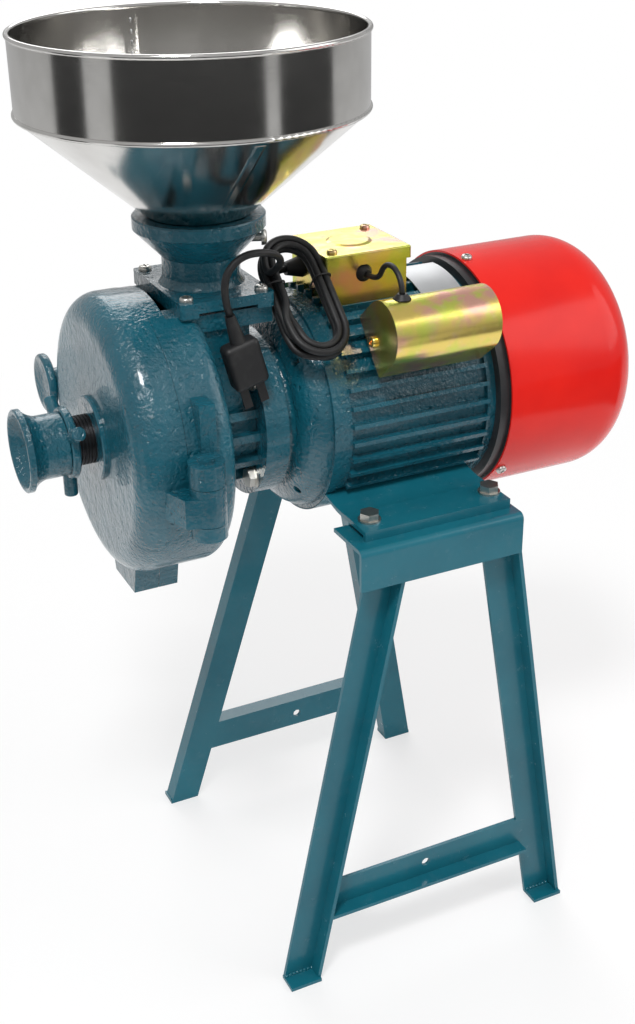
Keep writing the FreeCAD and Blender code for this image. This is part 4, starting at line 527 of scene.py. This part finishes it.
# ---------------------------------------------------------------- sub-assemblies
@dataclass
class Hopper:
    """The hopper's lap seams and spot welds, on its band and its cone."""

    palette: Palette
    band_seam_angle: float = 90.0
    cone_seam_angle: float = -91.0
    lap: float = 0.011
    lap_height: float = 0.0004
    weld_radius: float = 0.0016
    weld_count: int = 5
    pieces: list[bpy.types.Object] = field(default_factory=list)

    def build(self) -> None:
        """Makes the seams and welds."""
        low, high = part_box("hopper_drum")
        middle = Vector(((low[0] + high[0]) / 2, (low[1] + high[1]) / 2, 0))
        bead = 0.0013
        radius = (high[0] - low[0]) / 2 - bead
        wall = 0.001
        angle = math.radians(self.band_seam_angle)
        outward = Vector((math.cos(angle), math.sin(angle), 0))
        side = Vector((-math.sin(angle), math.cos(angle), 0))
        inner = middle + outward * (radius - wall)
        z0, z1 = low[2] + 0.008, high[2] - 0.007
        line = [inner + Vector((0, 0, z)) for z in (z0, (z0 + z1) / 2, z1)]
        strip = swept_strip("band_seam", line, [side] * 3, [-outward] * 3, self.lap, self.lap_height)
        self.keep(strip, Finish.STAINLESS)
        start = inner - outward * self.lap_height + Vector((0, 0, z0 + 0.004))
        end = inner - outward * self.lap_height + Vector((0, 0, z1 - 0.004))
        welds = BeadRow("band_spot_welds", tuple(start), tuple(end), self.weld_count, self.weld_radius,
                        (0.55, 0.55, 1.0)).build(self.palette[Finish.BRIGHT_STEEL])
        self.keep(welds, Finish.BRIGHT_STEEL)
        self.cone_seam(middle, low[2])

    def cone_seam(self, middle: Vector, top: float) -> None:
        """Makes the cone's seam, along one of its straight lines.

        Args:
            middle: The hopper's axis, on the floor plane.
            top: The height of the cone's upper edge.
        """
        low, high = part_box("hopper_cone")
        upper_r = (high[0] - low[0]) / 2
        foot_z, foot_r = 0.584, 0.024
        angle = math.radians(self.cone_seam_angle)
        outward = Vector((math.cos(angle), math.sin(angle), 0))
        side = Vector((-math.sin(angle), math.cos(angle), 0))
        slope = Vector((upper_r - foot_r, top - foot_z))
        normal = (outward * slope.y - Vector((0, 0, slope.x))).normalized()
        line = []
        for share in (0.16, 0.5, 0.97):
            r = foot_r + slope.x * share
            line.append(middle + outward * r + Vector((0, 0, foot_z + slope.y * share)))
        strip = swept_strip("cone_seam", line, [side] * 3, [normal] * 3, self.lap * 0.7, self.lap_height)
        self.keep(strip, Finish.STAINLESS)

    def keep(self, obj: bpy.types.Object, finish: Finish) -> None:
        """Dresses a piece and lets it ride on the hopper."""
        self.palette.dress(obj, finish)
        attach(obj, "hopper")
        self.pieces.append(obj)


@dataclass
class StandWelds:
    """The weld beads along the top edges of the legs' foot tabs."""

    palette: Palette
    bead: float = 0.0019
    pitch: float = 0.0026

    def build(self) -> None:
        """Makes one row of beads along the top edge of each foot tab, on every leg."""
        (near_low, near_high), (far_low, far_high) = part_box("near_legs"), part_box("far_legs")
        width = 0.0265
        face = 0.128
        for name, y, ends in (("near", -face, (near_low[0], near_high[0])), ("far", face, (far_low[0], far_high[0]))):
            for index, x in enumerate((ends[0], ends[1] - width)):
                start = (x + 0.002, y, 0.0035)
                end = (x + width - 0.002, y, 0.0035)
                count = int((width - 0.004) / self.pitch)
                row = BeadRow(f"{name}_tab_weld_{index}", start, end, count, self.bead, (1.0, 0.8, 0.8), 10)
                obj = row.build(self.palette[Finish.LEG_PAINT])
                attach(obj, "stand_and_casing")


@dataclass
class PowerCord:
    """The cord: out of the terminal box, round a hank on the motor's shoulder, and to its plug."""

    palette: Palette
    diameter: float = 0.0052
    hank_middle: Point = (-0.062, -0.044, 0.536)
    hank_tilt: float = 40.0
    straight: float = 0.028
    bend: float = 0.0179
    per_turn: int = 20
    entry: float = 0.020
    leave: float = 0.016
    first_jog: float = 0.030
    jog: float = 0.012
    slots: tuple[tuple[float, float], ...] = ((0.0152, -0.00535), (0.0206, -0.00535), (0.0206, 0.0),
                                              (0.0152, 0.0), (0.0152, 0.00535), (0.0206, 0.00535))

    def from_box(self) -> list[Point]:
        """The route's points from the box to the hank."""
        return [(-0.036, 0.012, 0.541), (-0.058, 0.012, 0.541), (-0.0725, -0.0025, 0.541),
                (-0.0765, -0.0200, 0.5405)]

    def to_plug(self) -> list[Point]:
        """The route's points from the hank to the plug."""
        return [(-0.0795, -0.0516, 0.5682), (-0.094, -0.0607, 0.5791), (-0.117, -0.0607, 0.5791),
                (-0.131, -0.0607, 0.5608), (-0.125, -0.0607, 0.5386)]

    def hank_point(self, across: float, along: float, out: float) -> Point:
        """A point of the hank: across it, up along its slope and out of its plane."""
        tilt = math.radians(self.hank_tilt)
        up = Vector((0, math.cos(tilt), math.sin(tilt)))
        outward = Vector((0, -math.sin(tilt), math.cos(tilt)))
        return tuple(Vector(self.hank_middle) + Vector((across, 0, 0)) + up * along + outward * out)

    def hank(self) -> list[Point]:
        """The turns; each lies in its own slot of the bundle and jogs into the next one when that is free."""
        loop = 4 * self.straight + 2 * math.pi * self.bend
        last = len(self.slots) - 1
        distance, points = self.entry, []
        while distance < last * loop + self.leave:
            turn = int(distance // loop)
            place = self.first_jog + (last - 1 - turn) * self.jog
            share = min(max((distance % loop - place) / self.jog, 0.0), 1.0)
            here, after = self.slots[turn], self.slots[min(turn + 1, last)]
            radius, depth = (low + (high - low) * share for low, high in zip(here, after))
            across, along = self.on_loop(distance % loop, radius)
            points.append(self.hank_point(across, along, depth))
            distance += loop / self.per_turn
        return points

    def on_loop(self, distance: float, radius: float) -> tuple[float, float]:
        """Where a point lies on the hank's outline.

        Args:
            distance: How far it lies along the middle outline, from the top of the left run.
            radius: The radius of its own turn.

        Returns:
            Its place across and along the hank.
        """
        run = 2 * self.straight
        arc = math.pi * self.bend
        if distance < run:
            return -radius, self.straight - distance
        distance -= run
        if distance < arc:
            a = distance / self.bend
            return -radius * math.cos(a), -self.straight - radius * math.sin(a)
        distance -= arc
        if distance < run:
            return radius, -self.straight + distance
        a = (distance - run) / self.bend
        return radius * math.cos(a), self.straight + radius * math.sin(a)

    def build(self) -> None:
        """Makes the cord and hides the modelled cord and its hank."""
        points = self.from_box() + self.hank() + self.to_plug()
        tube = spline_tube("power_cord_run", points, self.diameter)
        cord = tube.obj
        self.palette.dress(cord, Finish.BLACK_RUBBER)
        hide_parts("power_cord", "power_cord_hank")
        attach(cord, "stand_and_casing")
        LOG.info("power cord %.3f m", tube.length)


@dataclass
class CordTie:
    """A wire tie that holds one side of the hank's turns together."""

    palette: Palette
    cord: PowerCord
    along: float
    half_across: float = 0.0064
    half_out: float = 0.0089
    wire: float = 0.0007
    steps: int = 40
    round_steps: int = 8

    def build(self) -> None:
        """Makes the two rings, one on each side of the hank's eye."""
        for name, side in (("left", -1), ("right", 1)):
            middle = Vector(self.cord.hank_point(side * self.cord.bend, self.along, 0.0))
            across = Vector((1, 0, 0))
            out = (Vector(self.cord.hank_point(0, 0, 1)) - Vector(self.cord.hank_point(0, 0, 0))).normalized()
            axis = across.cross(out)
            vertices = []
            for i in range(self.steps):
                a = 2 * math.pi * i / self.steps
                c, d = (math.copysign(math.sqrt(abs(v)), v) for v in (math.cos(a), math.sin(a)))
                place = middle + across * self.half_across * c + out * self.half_out * d
                away = (across * math.cos(a) * self.half_out + out * math.sin(a) * self.half_across).normalized()
                for j in range(self.round_steps):
                    b = 2 * math.pi * j / self.round_steps
                    vertices.append(place + (away * math.cos(b) + axis * math.sin(b)) * self.wire)
            faces = []
            for i in range(self.steps):
                for j in range(self.round_steps):
                    n, k = (i + 1) % self.steps, (j + 1) % self.round_steps
                    m = self.round_steps
                    faces.append((i * m + j, i * m + k, n * m + k, n * m + j))
            ring = mesh_of(f"cord_tie_{name}", vertices, faces)
            smooth(ring.data)
            self.palette.dress(ring, Finish.BLACK_PLASTIC)
            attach(ring, "stand_and_casing")


@dataclass
class CapacitorLead:
    """The short lead from the terminal box into the capacitor's cover."""

    palette: Palette
    diameter: float = 0.004

    def build(self) -> None:
        """Makes the lead."""
        x = -0.008
        points = [(x, -0.038, 0.544), (x, -0.0549, 0.544), (x, -0.0632, 0.5586), (x, -0.078, 0.5612),
                  (x, -0.0896, 0.5517), (x, -0.0896, 0.5441)]
        tube = spline_tube("capacitor_lead_run", points, self.diameter)
        lead = tube.obj
        self.palette.dress(lead, Finish.BLACK_RUBBER)
        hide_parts("capacitor_lead")
        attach(lead, "stand_and_casing")


@dataclass
class Tube:
    """A round tube on one smooth open spline, as a mesh, with the line that it follows."""

    obj: bpy.types.Object
    line: list[Point]

    @property
    def length(self) -> float:
        """The line's length, in metres."""
        return sum(math.dist(a, b) for a, b in zip(self.line, self.line[1:]))


def spline_tube(name: str, points: Sequence[Point], diameter: float) -> Tube:
    """Makes a tube from the control points of its route.

    Args:
        name: The object's name.
        points: The control points, in metres.
        diameter: The tube's diameter.

    Returns:
        The tube.
    """
    curve = bpy.data.curves.new(name, "CURVE")
    curve.dimensions = "3D"
    curve.resolution_u = 6
    spline = curve.splines.new("NURBS")
    spline.points.add(len(points) - 1)
    for target, point in zip(spline.points, points):
        target.co = (*point, 1.0)
    spline.order_u = 3
    spline.use_endpoint_u = True
    spline.resolution_u = 6
    route = add_object(name + " route", curve)
    bare = bpy.data.meshes.new_from_object(route)
    line = [tuple(v.co) for v in bare.vertices]
    curve.bevel_depth = diameter / 2
    curve.bevel_resolution = 5
    curve.use_fill_caps = True
    shape = bpy.context.evaluated_depsgraph_get()
    mesh = bpy.data.meshes.new_from_object(route.evaluated_get(shape))
    bpy.data.objects.remove(route)
    work = bmesh.new()
    work.from_mesh(mesh)
    bmesh.ops.remove_doubles(work, verts=work.verts, dist=1e-6)
    bmesh.ops.recalc_face_normals(work, faces=work.faces)
    work.to_mesh(mesh)
    work.free()
    smooth(mesh)
    return Tube(add_object(name, mesh), line)


# ---------------------------------------------------------------- stage
@dataclass
class Stage:
    """The pale floor, the soft lamps and the camera."""

    eye: Point = (-0.4785, -0.9277, 0.8575)
    yaw: float = 25.72
    pitch: float = 26.6
    roll: float = -0.7
    lens: float = 50.9
    floor_size: float = 12.0
    world_level: float = 0.5
    card_sectors: tuple[tuple[float, float], ...] = ((-161.0, -66.0), (-205.0, -180.0), (-57.0, -14.0))
    card_radii: tuple[float, float] = (0.95, 9.0)

    def build(self) -> None:
        """Makes floor, world, lamps and camera."""
        self.floor()
        self.world()
        self.cards()
        self.lamp("key", (-0.9, -1.1, 2.5), 0.45, 36)
        self.lamp("fill", (1.7, -1.1, 1.5), 1.6, 15)
        self.lamp("back", (0.5, 1.9, 1.9), 1.4, 20)
        self.camera()
        bpy.context.scene.view_settings.view_transform = "Standard"

    def floor(self) -> None:
        """A plain pale floor that the camera sees as white and that keeps its shadow."""
        half = self.floor_size / 2
        obj = mesh_of("floor", [(-half, -half, 0), (half, -half, 0), (half, half, 0), (-half, half, 0)],
                      [(0, 1, 2, 3)])
        surface = Surface("floor")
        surface.set(Base_Color=(0.9, 0.9, 0.9, 1), Roughness=0.8)
        far = surface.node("ShaderNodeVectorMath", {"operation": "LENGTH"}, {0: surface.place})
        seen = Value(surface.tree, surface.node("ShaderNodeLightPath").outputs["Is Camera Ray"])
        share = Value(surface.tree, far.outputs["Value"]).ramp(0.45, 1.3) * 0.45 + 0.55
        glow = surface.node("ShaderNodeEmission", None, {"Color": (1, 1, 1, 1), "Strength": 1.0})
        both = surface.node("ShaderNodeMixShader", None,
                            {0: seen * share, 1: surface.shader.outputs[0], 2: glow.outputs[0]})
        surface.feed(surface.tree.nodes["Material Output"].inputs["Surface"], both.outputs[0])
        obj.data.materials.append(surface.material)

    def cards(self) -> None:
        """Dark cards low around the mill, which only gloss sees, as a studio gives bright metal its contrast."""
        surface = Surface("dark card")
        surface.set(Base_Color=(0.012, 0.012, 0.012, 1), Roughness=0.9)
        inner, outer = self.card_radii
        steps = 16
        for index, (start, end) in enumerate(self.card_sectors):
            points = []
            for i in range(steps + 1):
                angle = math.radians(start + (end - start) * i / steps)
                for radius in (inner, outer):
                    points.append((-0.12 + radius * math.cos(angle), radius * math.sin(angle), 0.002))
            faces = [(2 * i, 2 * i + 1, 2 * i + 3, 2 * i + 2) for i in range(steps)]
            card = mesh_of(f"dark_card_{index}", points, faces)
            card.data.materials.append(surface.material)
            card.visible_camera = card.visible_diffuse = card.visible_shadow = False

    def world(self) -> None:
        """A pale surround: white to the camera, and a plain level on the object and in gloss."""
        world = bpy.data.worlds.new("surround")
        world.use_nodes = True
        bpy.context.scene.world = world
        tree = world.node_tree
        ground = tree.nodes["Background"]
        ground.inputs["Color"].default_value = (1, 1, 1, 1)
        ray = tree.nodes.new("ShaderNodeLightPath")
        level = Value(tree, ray.outputs["Is Camera Ray"]) * (1.0 - self.world_level) + self.world_level
        tree.links.new(level.socket, ground.inputs["Strength"])

    def lamp(self, name: str, place: Point, size: float, power: float) -> None:
        """An area lamp aimed at the mill's middle."""
        data = bpy.data.lights.new(name, "AREA")
        data.size = size
        data.energy = power
        obj = add_object(name, data)
        obj.location = place
        aim = Vector((-0.05, 0, 0.4)) - Vector(place)
        obj.rotation_euler = aim.to_track_quat("-Z", "Y").to_euler()

    def camera(self) -> None:
        """The camera at its viewing angle."""
        yaw, pitch, roll = (math.radians(a) for a in (self.yaw, self.pitch, self.roll))
        forward = Vector((math.sin(yaw) * math.cos(pitch), math.cos(yaw) * math.cos(pitch), -math.sin(pitch)))
        right = Vector((math.cos(yaw), -math.sin(yaw), 0))
        up = right.cross(forward)
        across = right * math.cos(roll) + up * math.sin(roll)
        upward = up * math.cos(roll) - right * math.sin(roll)
        data = bpy.data.cameras.new("camera")
        data.lens = self.lens
        data.clip_start = 0.01
        obj = add_object("camera", data)
        turn = Matrix((across, upward, -forward)).transposed().to_4x4()
        obj.matrix_world = Matrix.Translation(self.eye) @ turn
        bpy.context.scene.camera = obj


def dress_nodes(frame: dict[str, Any], palette: Palette) -> None:
    """Gives every CAD node the finish of its slot.

    Args:
        frame: What the frame's loader returns.
        palette: The finishes.
    """
    for entry in frame["record"]["subparts"]:
        obj = frame["nodes"][entry["node"]]
        palette.dress(obj, Finish(entry["material_slot"]))
        LOG.info("%s: %s", entry["node"], entry["material_slot"])


def main() -> None:
    """Dresses the mill, adds its pieces and sets the stage."""
    logging.basicConfig(level=logging.INFO)
    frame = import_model()
    palette = Palette()
    dress_nodes(frame, palette)
    cord = PowerCord(palette)
    for piece in (Hopper(palette), StandWelds(palette), CordTie(palette, cord, 0.012), cord, CapacitorLead(palette)):
        piece.build()
        LOG.info("built %s", type(piece).__name__)
    Stage().build()


if __name__ == "__main__":
    main()
